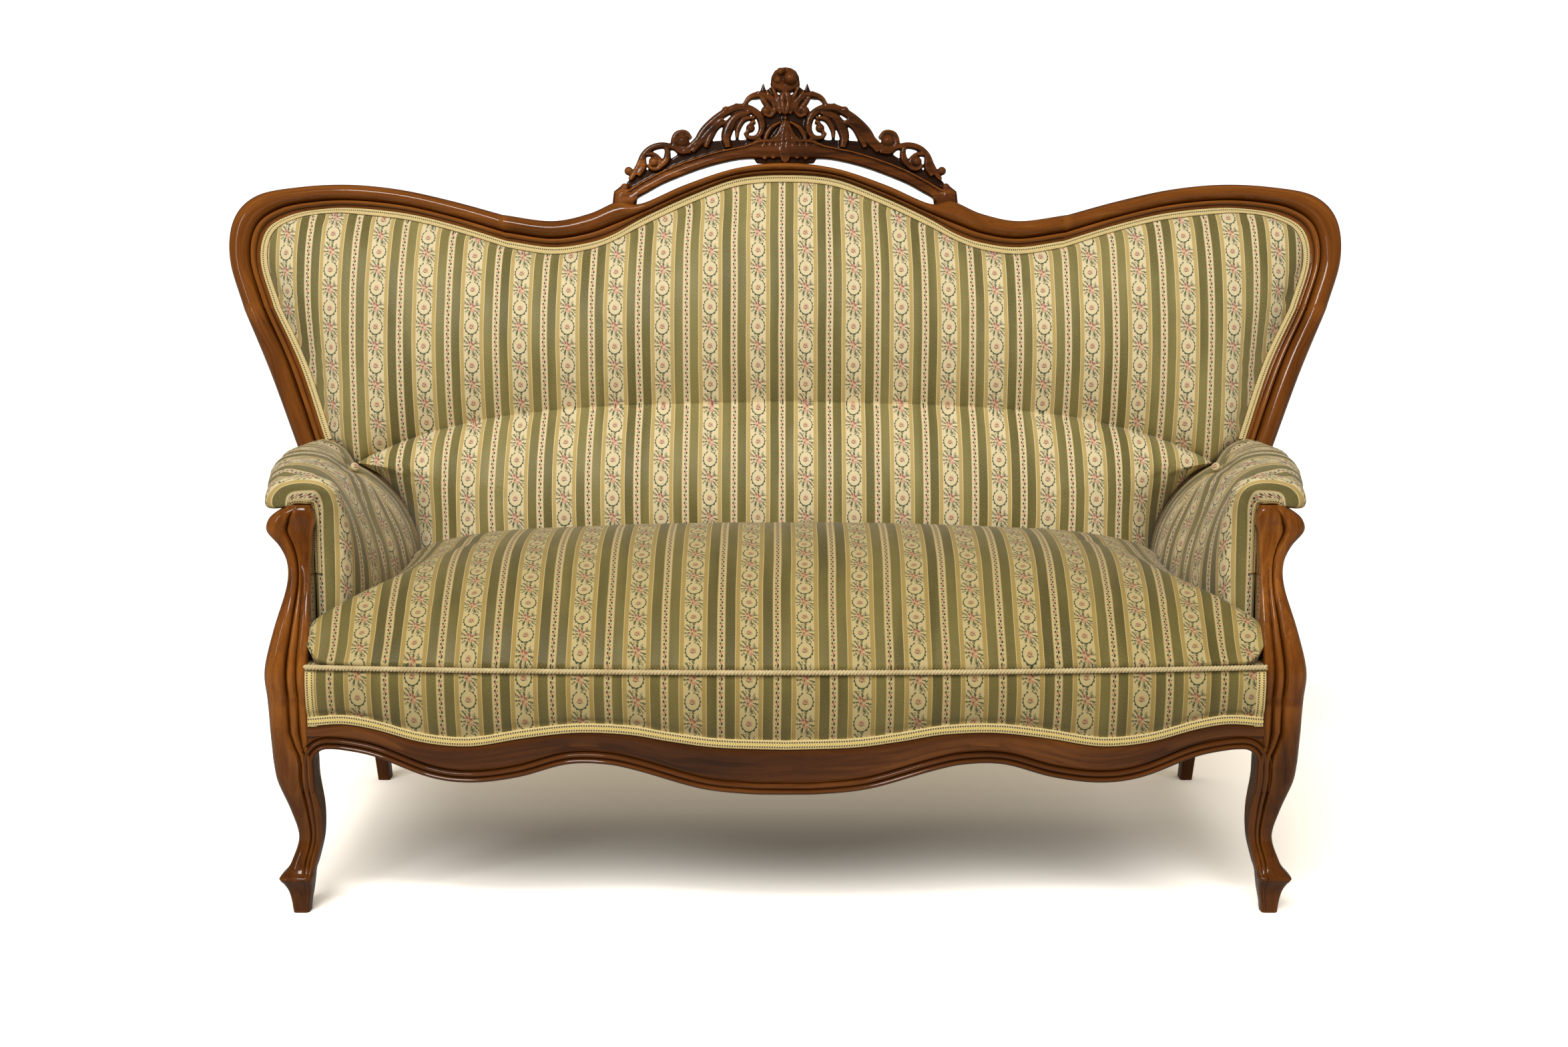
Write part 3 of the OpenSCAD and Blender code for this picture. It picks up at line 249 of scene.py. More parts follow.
def settle(obj, held, pressure):
    # Lets a cover swell under the pressure of its stuffing while its edges are held
    group = obj.vertex_groups.new(name="held")
    group.add([int(k) for k in held], 1.0, "REPLACE")
    modifier = obj.modifiers.new("stuffing", "CLOTH")
    settings = modifier.settings
    settings.quality = cloth["quality"]
    settings.mass = cloth["mass"]
    settings.tension_stiffness = settings.compression_stiffness = cloth["tension"]
    settings.shear_stiffness = cloth["shear"]
    settings.bending_stiffness = cloth["bending"]
    settings.tension_damping = settings.compression_damping = settings.shear_damping = cloth["damping"]
    settings.air_damping = cloth["drag"]
    settings.vertex_group_mass = "held"
    settings.use_pressure = True
    settings.uniform_pressure_force = pressure
    settings.shrink_min = cloth["slack"]
    settings.effector_weights.gravity = 0
    modifier.collision_settings.use_collision = False
    modifier.point_cache.frame_start = 1
    modifier.point_cache.frame_end = cloth["frames"]
    for step in range(1, cloth["frames"] + 1):
        scene.frame_set(step)
    before = np.array([v.co[:] for v in obj.data.vertices])
    bake(obj)
    scene.frame_set(1)
    after = np.array([v.co[:] for v in obj.data.vertices])
    print("settled", obj.name, "moved up to", round(float(np.abs(after - before).max()) * 1000, 1), "mm")


# A strip of braid across its width: shares of the width, and how far it is raised
braidSection = dict(
    shares=np.array([0, 0, 0.06, 0.2, 0.35, 0.5, 0.65, 0.8, 0.94, 1, 1]),
    lifts=np.array([-0.6, 0.5, 0.9, 1, 1, 1.05, 1, 1, 0.9, 0.5, -0.6]), thick=0.0015)


def ribbon(name, low, high, out):
    # A strip of braid between two lines of points, raised towards out
    low, high = np.asarray(low, float), np.asarray(high, float)
    out = np.broadcast_to(np.asarray(out, float), low.shape)
    shares, lifts = braidSection["shares"], braidSection["lifts"] * braidSection["thick"]
    grid = low[:, None] + (high - low)[:, None] * shares[None, :, None] + out[:, None] * lifts[None, :, None]
    width = np.linalg.norm(high - low, axis=1)
    uv = np.stack([np.repeat(runs((low + high) / 2)[:, None], len(shares), axis=1),
                   width[:, None] * shares[None, :]], axis=2)
    return loft(name, grid, wrap=False, uv=uv, crease=80)


def place(obj, material, slot, *nodes):
    # Gives a piece its finish and says which nodes of the frame it stands for
    if material is not None:
        obj.data.materials.clear()
        obj.data.materials.append(material)
    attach(obj, "root")
    if nodes:
        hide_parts(*nodes)


def placePair(right, leftName, material, slot, rightNodes, leftNodes):
    # A piece on the right and its mirror image on the left
    place(right, material, slot, *rightNodes)
    left = mirrorX(right, leftName)
    place(left, material, slot, *leftNodes)
    return right, left


# Materials
def principled(name, roughness=0.5, metallic=0.0):
    # A new material, the inputs of its shader, and the short names for its tree
    material = bpy.data.materials.new(name)
    material.use_nodes = True
    inputs = material.node_tree.nodes["Principled BSDF"].inputs
    inputs["Roughness"].default_value = roughness
    inputs["Metallic"].default_value = metallic
    return material, inputs, Maths(material.node_tree)


def plainMaterial(name, colour, roughness, metallic):
    material, inputs, _ = principled(name, roughness, metallic)
    inputs["Base Color"].default_value = (*colour, 1)
    return material


class Maths:
    # Short names for the nodes of a tree
    def __init__(self, tree):
        self.tree = tree

    def node(self, kind):
        return self.tree.nodes.new("ShaderNode" + kind)

    def put(self, socket, value):
        if hasattr(value, "is_linked"):
            self.tree.links.new(value, socket)
        elif isinstance(value, tuple) and len(value) == 3 and len(socket.default_value) == 4:
            socket.default_value = (*value, 1)
        else:
            socket.default_value = value

    def op(self, kind, *values):
        node = self.node("Math")
        node.operation = kind
        for k, value in enumerate(values):
            self.put(node.inputs[k], value)
        return node.outputs[0]

    def chain(self, kind, values):
        out = values[0]
        for value in values[1:]:
            out = self.op(kind, out, value)
        return out

    def add(self, *values):
        return self.chain("ADD", values)

    def mul(self, *values):
        return self.chain("MULTIPLY", values)

    def most(self, *values):
        return self.chain("MAXIMUM", values)

    def sub(self, a, b):
        return self.op("SUBTRACT", a, b)

    def size(self, a):
        return self.op("ABSOLUTE", a)

    def sine(self, a):
        return self.op("SINE", a)

    def shares(self, *pairs):
        # The sum of values, each times its share
        return self.add(*[self.mul(value, share) for value, share in pairs])

    def step(self, value, low, high):
        # 0 below low and 1 above high; the other way round if low is the larger one
        node = self.node("MapRange")
        node.interpolation_type = "SMOOTHSTEP"
        swap = low > high
        limits = (high, low, 1.0, 0.0) if swap else (low, high, 0.0, 1.0)
        self.put(node.inputs["Value"], value)
        for label, limit in zip(("From Min", "From Max", "To Min", "To Max"), limits):
            self.put(node.inputs[label], limit)
        return node.outputs[0]

    def inside(self, value, low, high, soft):
        return self.mul(self.step(value, low - soft, low + soft), self.step(value, high + soft, high - soft))

    def near(self, a, b, beyond, within):
        # 1 where a is within a distance of b, and 0 beyond another
        return self.step(self.size(self.sub(a, b)), beyond, within)

    def length(self, x, y):
        return self.op("SQRT", self.add(self.mul(x, x), self.mul(y, y)))

    def blob(self, x, y, cx, cy, rx, ry, soft=0.15):
        # A soft-edged oval
        dx = self.mul(self.sub(x, cx), 1 / rx)
        dy = self.mul(self.sub(y, cy), 1 / ry)
        return self.step(self.length(dx, dy), 1 + soft, 1 - soft)

    def blobs(self, x, y, ovals, soft=0.15):
        return self.most(*[self.blob(x, y, *oval, soft) for oval in ovals])

    def vector(self, x, y, z=0.0):
        node = self.node("CombineXYZ")
        for socket, value in zip(node.inputs, (x, y, z)):
            self.put(socket, value)
        return node.outputs[0]

    def parts(self, vector):
        node = self.node("SeparateXYZ")
        self.put(node.inputs[0], vector)
        return node.outputs[0], node.outputs[1], node.outputs[2]

    def noise(self, vector, scale, detail=2.0, rough=0.5):
        node = self.node("TexNoise")
        self.put(node.inputs["Vector"], vector)
        for label, value in (("Scale", scale), ("Detail", detail), ("Roughness", rough)):
            node.inputs[label].default_value = value
        return node.outputs["Fac"]

    def streaks(self, values, scales, detail=2.0, rough=0.5):
        # Noise with its own scale along each of the values
        stretched = [self.mul(value, scale) for value, scale in zip(values, scales)]
        return self.noise(self.vector(*stretched), 1.0, detail, rough)

    def mixed(self, share, a, b, kind="MIX"):
        node = self.node("Mix")
        node.data_type = "RGBA"
        node.blend_type = kind
        for number, value in ((0, share), (6, a), (7, b)):
            self.put(node.inputs[number], value)
        return node.outputs[2]

    def ramp(self, value, first, last):
        # A colour ramp from one place and colour to another
        node = self.node("ValToRGB")
        self.put(node.inputs[0], value)
        for element, (place, colour) in zip(node.color_ramp.elements, (first, last)):
            element.position = place
            element.color = (*colour, 1)
        return node.outputs[0]

    def bump(self, height, distance, strength):
        node = self.node("Bump")
        self.put(node.inputs["Height"], height)
        node.inputs["Distance"].default_value = distance
        node.inputs["Strength"].default_value = strength
        return node.outputs[0]

    def coordinates(self, source):
        return self.node("TexCoord").outputs[source]

    def weaveUv(self):
        layer = self.node("UVMap")
        layer.uv_map = "weave"
        return layer.outputs[0]

    def shared(self, group, vector, **values):
        # A shared group, placed here with its own values
        node = self.node("Group")
        node.node_tree = group
        self.put(node.inputs["Vector"], vector)
        for label, value in values.items():
            self.put(node.inputs[label], value)
        return node


def nodeGroup(name, inputs, outputs):
    # A group with its sockets: name, kind, and the value that an input starts with
    group = bpy.data.node_groups.new(name, "ShaderNodeTree")
    for label, kind, value in inputs:
        socket = group.interface.new_socket(label, in_out="INPUT", socket_type="NodeSocket" + kind)
        if value is not None:
            socket.default_value = value
    for label, kind in outputs:
        group.interface.new_socket(label, in_out="OUTPUT", socket_type="NodeSocket" + kind)
    given = group.nodes.new("NodeGroupInput").outputs
    return group, Maths(group), given, group.nodes.new("NodeGroupOutput").inputs


def sRgb(red, green, blue):
    # The linear colour of a screen colour
    return tuple(((v / 255 + 0.055) / 1.055) ** 2.4 if v > 10 else v / 3295 for v in (red, green, blue))


# Wood: grain lengthwise, pores, paler edges from wear and painted highlight, and painted shade in the
# hollows. The noises have their scales along and across the grain, detail and roughness; the rest have
# their two limits and their strength.
wood = dict(
    slow=(2.2, 7.0, 3.0, 0.55), warp=(5.0, 14.0, 2.0, 0.5), lines=(7.0, 110.0, 4.0, 0.6),
    pores=(70.0, 900.0, 1.0, 0.5), waves=(9.0, 28.0, 2.0, 0.5), warpShare=0.05, slowShare=0.62, lineShare=0.38,
    middle=(0.3, 0.52), light=(0.48, 0.74), flecks=(0.36, 0.28, 0.55), raised=(0.505, 0.56, 0.55),
    hollow=(0.492, 0.44, 0.85), hollowShade=0.7, rough=0.2, roughLines=0.12, roughHollow=0.25,
    waveHeight=0.6, lineHeight=0.12, poreHeight=-0.1, bump=(0.0009, 0.55),
    specular=0.06, coatRough=0.07, ground=0.82, joint=(0.002, 0.010))


def makeWoodGroup():
    w = wood
    group, m, given, out = nodeGroup(
        "woodGrain",
        [("Vector", "Vector", None), ("Dark", "Color", (0.03, 0.01, 0.004, 1)),
         ("Middle", "Color", (0.12, 0.045, 0.014, 1)), ("Light", "Color", (0.3, 0.12, 0.035, 1)),
         ("Wear", "Float", 1.0)],
        [("Color", "Color"), ("Roughness", "Float"), ("Normal", "Vector")])
    along, across, deep = m.parts(given["Vector"])

    def grain(kind, across):
        lengthwise, crosswise, detail, rough = w[kind]
        return m.streaks((along, across, deep), (lengthwise, crosswise, crosswise), detail, rough)

    lines = grain("lines", m.add(across, m.mul(grain("warp", across), w["warpShare"])))
    tone = m.shares((grain("slow", across), w["slowShare"]), (lines, w["lineShare"]))
    base = m.mixed(m.step(tone, *w["middle"]), given["Dark"], given["Middle"])
    base = m.mixed(m.step(tone, *w["light"]), base, given["Light"])
    flecks = m.step(grain("pores", across), *w["flecks"][:2])
    base = m.mixed(m.mul(flecks, w["flecks"][2]), base, given["Dark"])
    # Pointiness: convex edges turn paler, as wear and as painted highlight; hollows get painted shade, mixed towards
    # black
    shape = m.node("NewGeometry").outputs["Pointiness"]
    raised = m.mul(m.step(shape, *w["raised"][:2]), given["Wear"])
    hollow = m.mul(m.step(shape, *w["hollow"][:2]), given["Wear"])
    base = m.mixed(m.mul(raised, w["raised"][2]), base, given["Light"])
    hollowShade = m.mixed(w["hollowShade"], given["Dark"], (0.0, 0.0, 0.0))
    m.put(out["Color"], m.mixed(m.mul(hollow, w["hollow"][2]), base, hollowShade))
    m.put(out["Roughness"], m.add(w["rough"], m.shares((lines, w["roughLines"]), (hollow, w["roughHollow"]))))
    height = m.shares((grain("waves", across), w["waveHeight"]), (lines, w["lineHeight"]),
                      (flecks, w["poreHeight"]))
    m.put(out["Normal"], m.bump(height, *w["bump"]))
    return group


woodGroup = makeWoodGroup()


def woodFinish(name, source, tones, wearAndShade=0.6, rough=None, coat=0.6, relief=None, low=None):
    # relief: the way that the carving faces, its level there, and the heights of its ground and ridges, below which
    # painted shade darkens the ground.
    # low: the heights between which painted shade darkens the wood towards the floor, and by how much.
    material, inputs, m = principled(name)
    x, y, z = m.parts(m.coordinates("Object"))
    coordinates = m.vector(z, x, y) if source == "Upright" else m.coordinates(source)
    grain = m.shared(woodGroup, coordinates, Dark=tones[0], Middle=tones[1], Light=tones[2], Wear=wearAndShade)
    colour = grain.outputs["Color"]
    if relief is not None:
        # Painted shade on the carving's sunk ground
        facing, level, ground, ridge = relief
        height = m.add(*[m.mul(value, float(part)) for value, part in zip((x, y, z), facing)], -level)
        colour = m.mixed(m.step(height, ground, ridge), m.mixed(wood["ground"], colour, tones[0]), colour)
    if low is not None:
        # Painted shade: darker towards the floor, where less light falls
        start, end, shade = low
        colour = m.mixed(m.step(z, start, end), m.mixed(shade, colour, tones[0]), colour)
        # No paler edge and no painted hollow shade where a leg meets the support above it
        m.put(grain.inputs["Wear"], m.mul(m.near(z, sofa["legH"], *wood["joint"]), wearAndShade))
    m.put(inputs["Base Color"], colour)
    m.put(inputs["Roughness"], grain.outputs["Roughness"] if rough is None else rough)
    m.put(inputs["Normal"], grain.outputs["Normal"])
    inputs["Specular IOR Level"].default_value = wood["specular"]
    inputs["Coat Weight"].default_value = coat
    inputs["Coat Roughness"].default_value = wood["coatRough"]
    return material


walnutTones = (sRgb(46, 21, 4), sRgb(106, 57, 15), sRgb(162, 98, 36))
# low paints shade on these pieces towards the floor
woodMaterial = woodFinish("walnut", "UV", walnutTones, low=(0.12, 0.50, 0.45))
uprightMaterial = woodFinish("walnutUpright", "Upright", walnutTones, low=(0.12, 0.43, 0.40))
# The rail's darker tones are painted shade on a copy of the walnut
shadedRailMaterial = woodFinish("walnutRailShaded", "UV", (sRgb(34, 16, 4), sRgb(74, 38, 11), sRgb(120, 70, 26)))
timberMaterial = woodFinish("beech", "Object", (sRgb(130, 92, 58), sRgb(172, 130, 88), sRgb(200, 162, 118)),
                            wearAndShade=0.3, rough=0.65, coat=0.0)

# The striped cover. Widths are half widths from the middle of a wide cream stripe, in metres.
weave = dict(
    period=0.0765, cream=0.0128, yellow=0.0192, olive=0.0326, repeat=0.062, soft=0.00035, wobble=0.004,
    vineTurn=0.0125, rib=0.0021, piping=0.0016, pipingSoft=0.0006, edge=0.0011, edgeSoft=0.0005,
    # oliveDark and oliveLight are the olive in shade and in light, mixed for a painted sheen
    oliveDark=sRgb(94, 86, 38), oliveLight=sRgb(126, 116, 64), creamTone=sRgb(212, 197, 158),
    yellowTone=sRgb(190, 164, 104), paleTone=sRgb(208, 190, 142), pink=sRgb(192, 132, 116),
    darkGreen=sRgb(62, 76, 50), blackTone=sRgb(54, 44, 34),
    mottle=((0.3, (0.25, 0.22, 0.14)), (0.7, (0.8, 0.75, 0.6))), bump=(0.0004, 0.6),
    rough=0.82, satin=0.3, sheen=0.12, sheenRough=0.5)
# Flowers on the cream stripe. An oval has its place across and along, and its two radii.
flowers = dict(
    apart=0.0155, wreath=(0.0104, 0.0128), dabs=13.0, ringWidth=0.055, dabWidth=0.03, dabShift=0.035,
    heavy=(0.006, -0.008), heavyWidth=0.02, ringSoft=(0.05, -0.03), opening=(0.22, 0.34),
    drop=(0.0, -0.0145, 0.0024, 0.0015), rose=(0.0, 0.0, 0.0040, 0.0042),
    roseEdges=((-0.0012, 0.0012, 0.0013, 0.0007), (0.0014, -0.0002, 0.0007, 0.0013),
               (-0.0006, -0.0036, 0.0022, 0.0008), (0.0034, -0.003, 0.0009, 0.0006),
               (-0.0036, -0.0022, 0.0006, 0.0011)),
    lean=0.45, squash=0.80, patches=420.0, leafCount=9.0, leafStray=5.0, leafTurn=1.2, leafFade=60.0,
    leafSoft=(-0.15, 0.2), leafReach=(0.0050, 0.0128, 0.0008), sprigCount=15.0, sprigStray=7.0, sprigTurn=0.4,
    sprigSoft=(0.4, 0.8), sprigReach=(0.0080, 0.0150, 0.0008),
    stemTurns=420.0, stemSwing=0.0012, stemWidth=(0.0011, 0.0005), stemReach=(-0.0155, -0.004, 0.0006),
    roses=((-0.0030, 0.0050, 0.0030, 0.0034), (0.0024, 0.0022, 0.0030, 0.0032),
           (-0.0018, -0.0020, 0.0030, 0.0031), (0.0028, -0.0056, 0.0024, 0.0027)),
    hearts=((-0.0030, 0.0050, 0.0010, 0.0012), (0.0024, 0.0022, 0.0011, 0.0011),
            (-0.0018, -0.0020, 0.0010, 0.0011), (0.0004, 0.0042, 0.0007, 0.0018)), heartSoft=0.3)


def drawFlowers(m, x, y):
    # Where the greens, pinks and darks of a wreath and a bouquet lie
    f = flowers
    wy = m.add(y, f["apart"])
    angle = m.op("ARCTAN2", x, wy)
    dabs = m.sine(m.mul(angle, f["dabs"]))
    radius = m.length(m.mul(x, 1 / f["wreath"][0]), m.mul(wy, 1 / f["wreath"][1]))
    width = m.add(f["ringWidth"], m.shares((dabs, f["dabWidth"]), (m.step(wy, *f["heavy"]), f["heavyWidth"])))
    off = m.size(m.sub(m.sub(radius, 1.0), m.mul(dabs, f["dabShift"])))
    ring = m.mul(m.step(m.sub(off, width), *f["ringSoft"]), m.step(m.size(angle), *f["opening"]))
    drop, rose = m.blob(x, wy, *f["drop"]), m.blob(x, wy, *f["rose"])

    by = m.sub(y, f["apart"])
    lean = m.add(m.mul(x, f["lean"]), by)
    far = m.length(x, m.mul(lean, f["squash"]))
    fan = m.op("ARCTAN2", x, lean)
    spots = m.vector(m.mul(x, f["patches"]), m.mul(by, f["patches"]), 3.0)
    patches = m.sub(m.noise(spots, 1.0, 1.0), 0.5)

    def fronds(kind):
        count, stray, turn = (f[kind + label] for label in ("Count", "Stray", "Turn"))
        return m.sine(m.add(m.shares((fan, count), (patches, stray)), turn))

    blades = m.sub(fronds("leaf"), m.mul(far, f["leafFade"]))
    leaves = m.mul(m.step(blades, *f["leafSoft"]), m.inside(far, *f["leafReach"]))
    sprigs = m.mul(m.step(fronds("sprig"), *f["sprigSoft"]), m.inside(far, *f["sprigReach"]))
    swing = m.mul(m.sine(m.mul(by, f["stemTurns"])), f["stemSwing"])
    stem = m.mul(m.near(x, swing, *f["stemWidth"]), m.inside(by, *f["stemReach"]))
    petals = m.step(patches, 0.02, 0.1)
    roses = m.mul(m.blobs(x, by, f["roses"]), m.sub(0.85, m.mul(petals, 0.35)))
    greens = m.most(ring, m.mul(drop, 0.6), m.mul(leaves, 0.92), m.mul(sprigs, 0.7), m.mul(stem, 0.4))
    pinks = m.most(m.mul(rose, 0.6), roses)
    darks = m.most(m.mul(m.blobs(x, wy, f["roseEdges"]), 0.8),
                   m.mul(m.blobs(x, by, f["hearts"], f["heartSoft"]), 0.85))
    return greens, pinks, darks


def makeStripeGroup():
    w = weave
    group, m, given, out = nodeGroup(
        "stripeWeave", [("Vector", "Vector", None), ("Shift", "Float", 0.0)],
        [("Color", "Color"), ("Height", "Float"), ("Satin", "Float")])
    rawAcross, along, _ = m.parts(given["Vector"])
    wobble = m.sub(m.streaks((rawAcross, along), (2.0, 5.0)), 0.5)
    across = m.add(m.sub(rawAcross, given["Shift"]), m.mul(wobble, w["wobble"]))
    turns = m.add(m.mul(across, 1 / w["period"]), 0.5)
    stripe = m.op("FLOOR", turns)
    x = m.mul(m.sub(m.sub(turns, stripe), 0.5), w["period"])
    side = m.size(x)
    soft = w["soft"]
    cream = m.step(side, w["cream"] + soft, w["cream"] - soft)
    yellow = m.inside(side, w["cream"], w["yellow"], soft)
    olive = m.inside(side, w["yellow"], w["olive"], soft)
    vine = m.step(side, w["olive"] - soft, w["olive"] + soft)

    # Every other cream stripe starts half a repeat later
    odd = m.op("MODULO", m.size(stripe), 2.0)
    turn = m.shares((along, 1 / w["repeat"]), (odd, 0.5))
    y = m.mul(m.sub(m.op("FRACT", turn), 0.5), w["repeat"])
    greens, pinks, darks = (m.mul(cream, mask) for mask in drawFlowers(m, x, y))

    # Vine between the olive bands
    signed = m.mul(m.sub(w["period"] / 2, side), m.op("SIGN", x))
    wave = m.mul(m.sine(m.mul(along, 2 * math.pi / w["vineTurn"])), 0.0013)
    bead = m.op("FRACT", m.mul(along, 2 / w["vineTurn"]))
    blossom = m.op("FRACT", m.add(m.mul(along, 1 / w["vineTurn"]), 0.45))
    dashes = m.mul(m.near(signed, wave, 0.0016, 0.0007), m.inside(bead, 0.10, 0.8, 0.08))
    sprout = m.mul(m.near(signed, m.mul(wave, -1.5), 0.0011, 0.0005), m.inside(bead, 0.35, 0.6, 0.06))
    pinkDash = m.mul(m.near(signed, m.mul(wave, 0.4), 0.0015, 0.0008), m.inside(blossom, 0.3, 0.62, 0.05))
    vineEdge = m.mul(vine, m.step(side, w["olive"] + w["edge"], w["olive"] + w["edge"] - w["edgeSoft"]))

    ribs = m.mul(m.add(m.sine(m.mul(along, 2 * math.pi / w["rib"])), 1.0), 0.5)
    pipingEdge = w["yellow"] - w["piping"]
    piping = m.mul(yellow, m.step(side, pipingEdge, pipingEdge + w["pipingSoft"]))
    grain = m.streaks((across, along), (1500.0, 500.0), 1.0)
    mottle = m.noise(given["Vector"], 26.0, 3.0)
    sheen = m.streaks((across, along), (14.0, 2.5))

    # Ground colours from the olive outward, and then what is woven over them
    # Painted sheen: the olive is mixed from its tone in shade and its tone in light, in long random streaks
    colour = m.mixed(m.step(sheen, 0.35, 0.65), w["oliveDark"], w["oliveLight"])
    colour = m.mixed(m.mul(m.step(grain, 0.45, 0.7), 0.18), colour, w["creamTone"])
    creamBase = m.mixed(m.mul(m.step(grain, 0.5, 0.3), 0.3), w["creamTone"], w["yellowTone"])
    ribbed = m.mixed(m.mul(ribs, 0.45), w["yellowTone"], m.mixed(0.55, w["yellowTone"], w["oliveDark"]))
    for share, tone in ((cream, creamBase), (yellow, m.mixed(piping, ribbed, w["paleTone"])), (vine, creamBase),
                        (m.mul(vineEdge, 0.8), w["yellowTone"]), (m.mul(vine, dashes), w["blackTone"]),
                        (m.mul(vine, sprout), w["darkGreen"]), (m.mul(vine, pinkDash), w["pink"]),
                        (greens, w["darkGreen"]), (pinks, w["pink"]), (darks, w["blackTone"])):
        colour = m.mixed(share, colour, tone)
    m.put(out["Color"], m.mixed(0.12, colour, m.ramp(mottle, *w["mottle"]), "SOFT_LIGHT"))
    m.put(out["Height"], m.add(m.mul(yellow, ribs, 0.5), m.mul(m.most(greens, pinks), 0.35),
                               m.mul(vine, dashes, 0.35),
                               m.shares((grain, 0.25), (cream, 0.2), (piping, 0.6))))
    m.put(out["Satin"], olive)
    return group


stripeGroup = makeStripeGroup()


def stripeFinish(name, shift, tone=(1, 1, 1), level=False):
    # level: the stripes follow the object's own width and height, for a cloth without a weave of its own
    material, inputs, m = principled(name)
    coordinates = m.weaveUv()
    if level:
        x, _, z = m.parts(m.coordinates("Object"))
        coordinates = m.vector(x, z)
    stripes = m.shared(stripeGroup, coordinates, Shift=shift).outputs
    # tone tints a copy of the cover; where it is darker, that is painted shade
    tint = m.node("VectorMath")
    tint.operation = "MULTIPLY"
    m.put(tint.inputs[0], stripes["Color"])
    m.put(tint.inputs[1], tone)
    m.put(inputs["Base Color"], tint.outputs[0])
    m.put(inputs["Roughness"], m.sub(weave["rough"], m.mul(stripes["Satin"], weave["satin"])))
    m.put(inputs["Normal"], m.bump(stripes["Height"], *weave["bump"]))
    inputs["Sheen Weight"].default_value = weave["sheen"]
    inputs["Sheen Roughness"].default_value = weave["sheenRough"]
    return material


# The seat and its border are a copy of the cover tinted darker and warmer, as painted shade
shadedSeatFabric = stripeFinish("stripeSeatShaded", 0.027, (0.68, 0.64, 0.49))
backFabric = stripeFinish("stripeBack", 0.033)
# The arms, their buttons and outside cloths use a copy tinted a little darker and warmer, as painted shade
shadedArmFabric = stripeFinish("stripeArmShaded", 0.0, (0.93, 0.91, 0.86))
outsideFabric = stripeFinish("stripeOutside", 0.033, level=True)


# Plain weaves: hessian, webbing and lining
def makeWeaveGroup():
    group, m, given, out = nodeGroup(
        "plainWeave",
        [("Vector", "Vector", None), ("Pitch", "Float", 600.0),
         ("Light", "Color", (0.5, 0.4, 0.25, 1)), ("Dark", "Color", (0.2, 0.14, 0.08, 1))],
        [("Color", "Color"), ("Height", "Float")])
    x, y, z = m.parts(given["Vector"])
    up = m.add(y, z)
    over = m.mul(m.sine(m.mul(x, given["Pitch"])), m.sine(m.mul(up, given["Pitch"])))
    slub = m.streaks((x, up), (30.0, 300.0))
    tone = m.add(m.mul(over, 0.25), 0.35, m.mul(slub, 0.5))
    m.put(out["Color"], m.mixed(m.step(tone, 0.2, 0.85), given["Dark"], given["Light"]))
    m.put(out["Height"], m.shares((over, 0.5), (slub, 0.5)))
    return group


weaveGroup = makeWeaveGroup()


def plainWeave(name, light, dark, pitch):
    material, inputs, m = principled(name, 0.9)
    threads = m.shared(weaveGroup, m.coordinates("Object"), Pitch=pitch, Light=light, Dark=dark).outputs
    m.put(inputs["Base Color"], threads["Color"])
    m.put(inputs["Normal"], m.bump(threads["Height"], 0.0008, 0.7))
    return material


hessianMaterial = plainWeave("hessian", sRgb(186, 158, 112), sRgb(120, 92, 56), 2200.0)
webbingMaterial = plainWeave("webbing", sRgb(206, 184, 140), sRgb(150, 122, 82), 1500.0)
liningMaterial = plainWeave("blackLining", sRgb(38, 37, 36), sRgb(18, 18, 18), 3000.0)


def threadFinish(name, light, dark):
    # Twisted thread: fine fibres over a slow change of tone
    material, inputs, m = principled(name, 0.7)
    coordinates = m.coordinates("Object")
    fine, broad = m.noise(coordinates, 1400.0), m.noise(coordinates, 30.0)
    share = m.shares((fine, 0.7), (broad, 0.3))
    m.put(inputs["Base Color"], m.mixed(m.step(share, 0.35, 0.62), dark, light))
    m.put(inputs["Normal"], m.bump(fine, 0.0006, 0.6))
    inputs["Sheen Weight"].default_value = 0.15
    return material


# Openwork braid: rows of small square holes, painted dark as the shade seen through them, between pale threads
braidLook = dict(
    pitch=0.0034, holeWidth=(0.00115, 0.00085), holeRun=(0.2, 0.74, 0.06), threads=900.0, threadTone=(0.3, 0.62),
    dark=sRgb(168, 142, 84), pale=sRgb(222, 202, 146), hole=sRgb(44, 36, 20), holeShare=0.94,
    middleWidth=(0.0016, 0.0011), middleDark=sRgb(196, 168, 88), middlePale=sRgb(228, 208, 132),
    bump=(0.0006, 0.8))


def makeBraidGroup():
    group, m, given, out = nodeGroup(
        "braidHoles", [("Vector", "Vector", None), ("Row", "Float", 0.005)],
        [("Mask", "Float"), ("Rib", "Float")])
    along, across, _ = m.parts(given["Vector"])
    turn = m.op("FRACT", m.mul(along, 1 / braidLook["pitch"]))
    row = m.near(across, given["Row"], *braidLook["holeWidth"])
    m.put(out["Mask"], m.mul(row, m.inside(turn, *braidLook["holeRun"])))
    m.put(out["Rib"], m.mul(m.add(m.sine(m.mul(along, 2 * math.pi / braidLook["pitch"])), 1.0), 0.5))
    return group


braidGroup = makeBraidGroup()


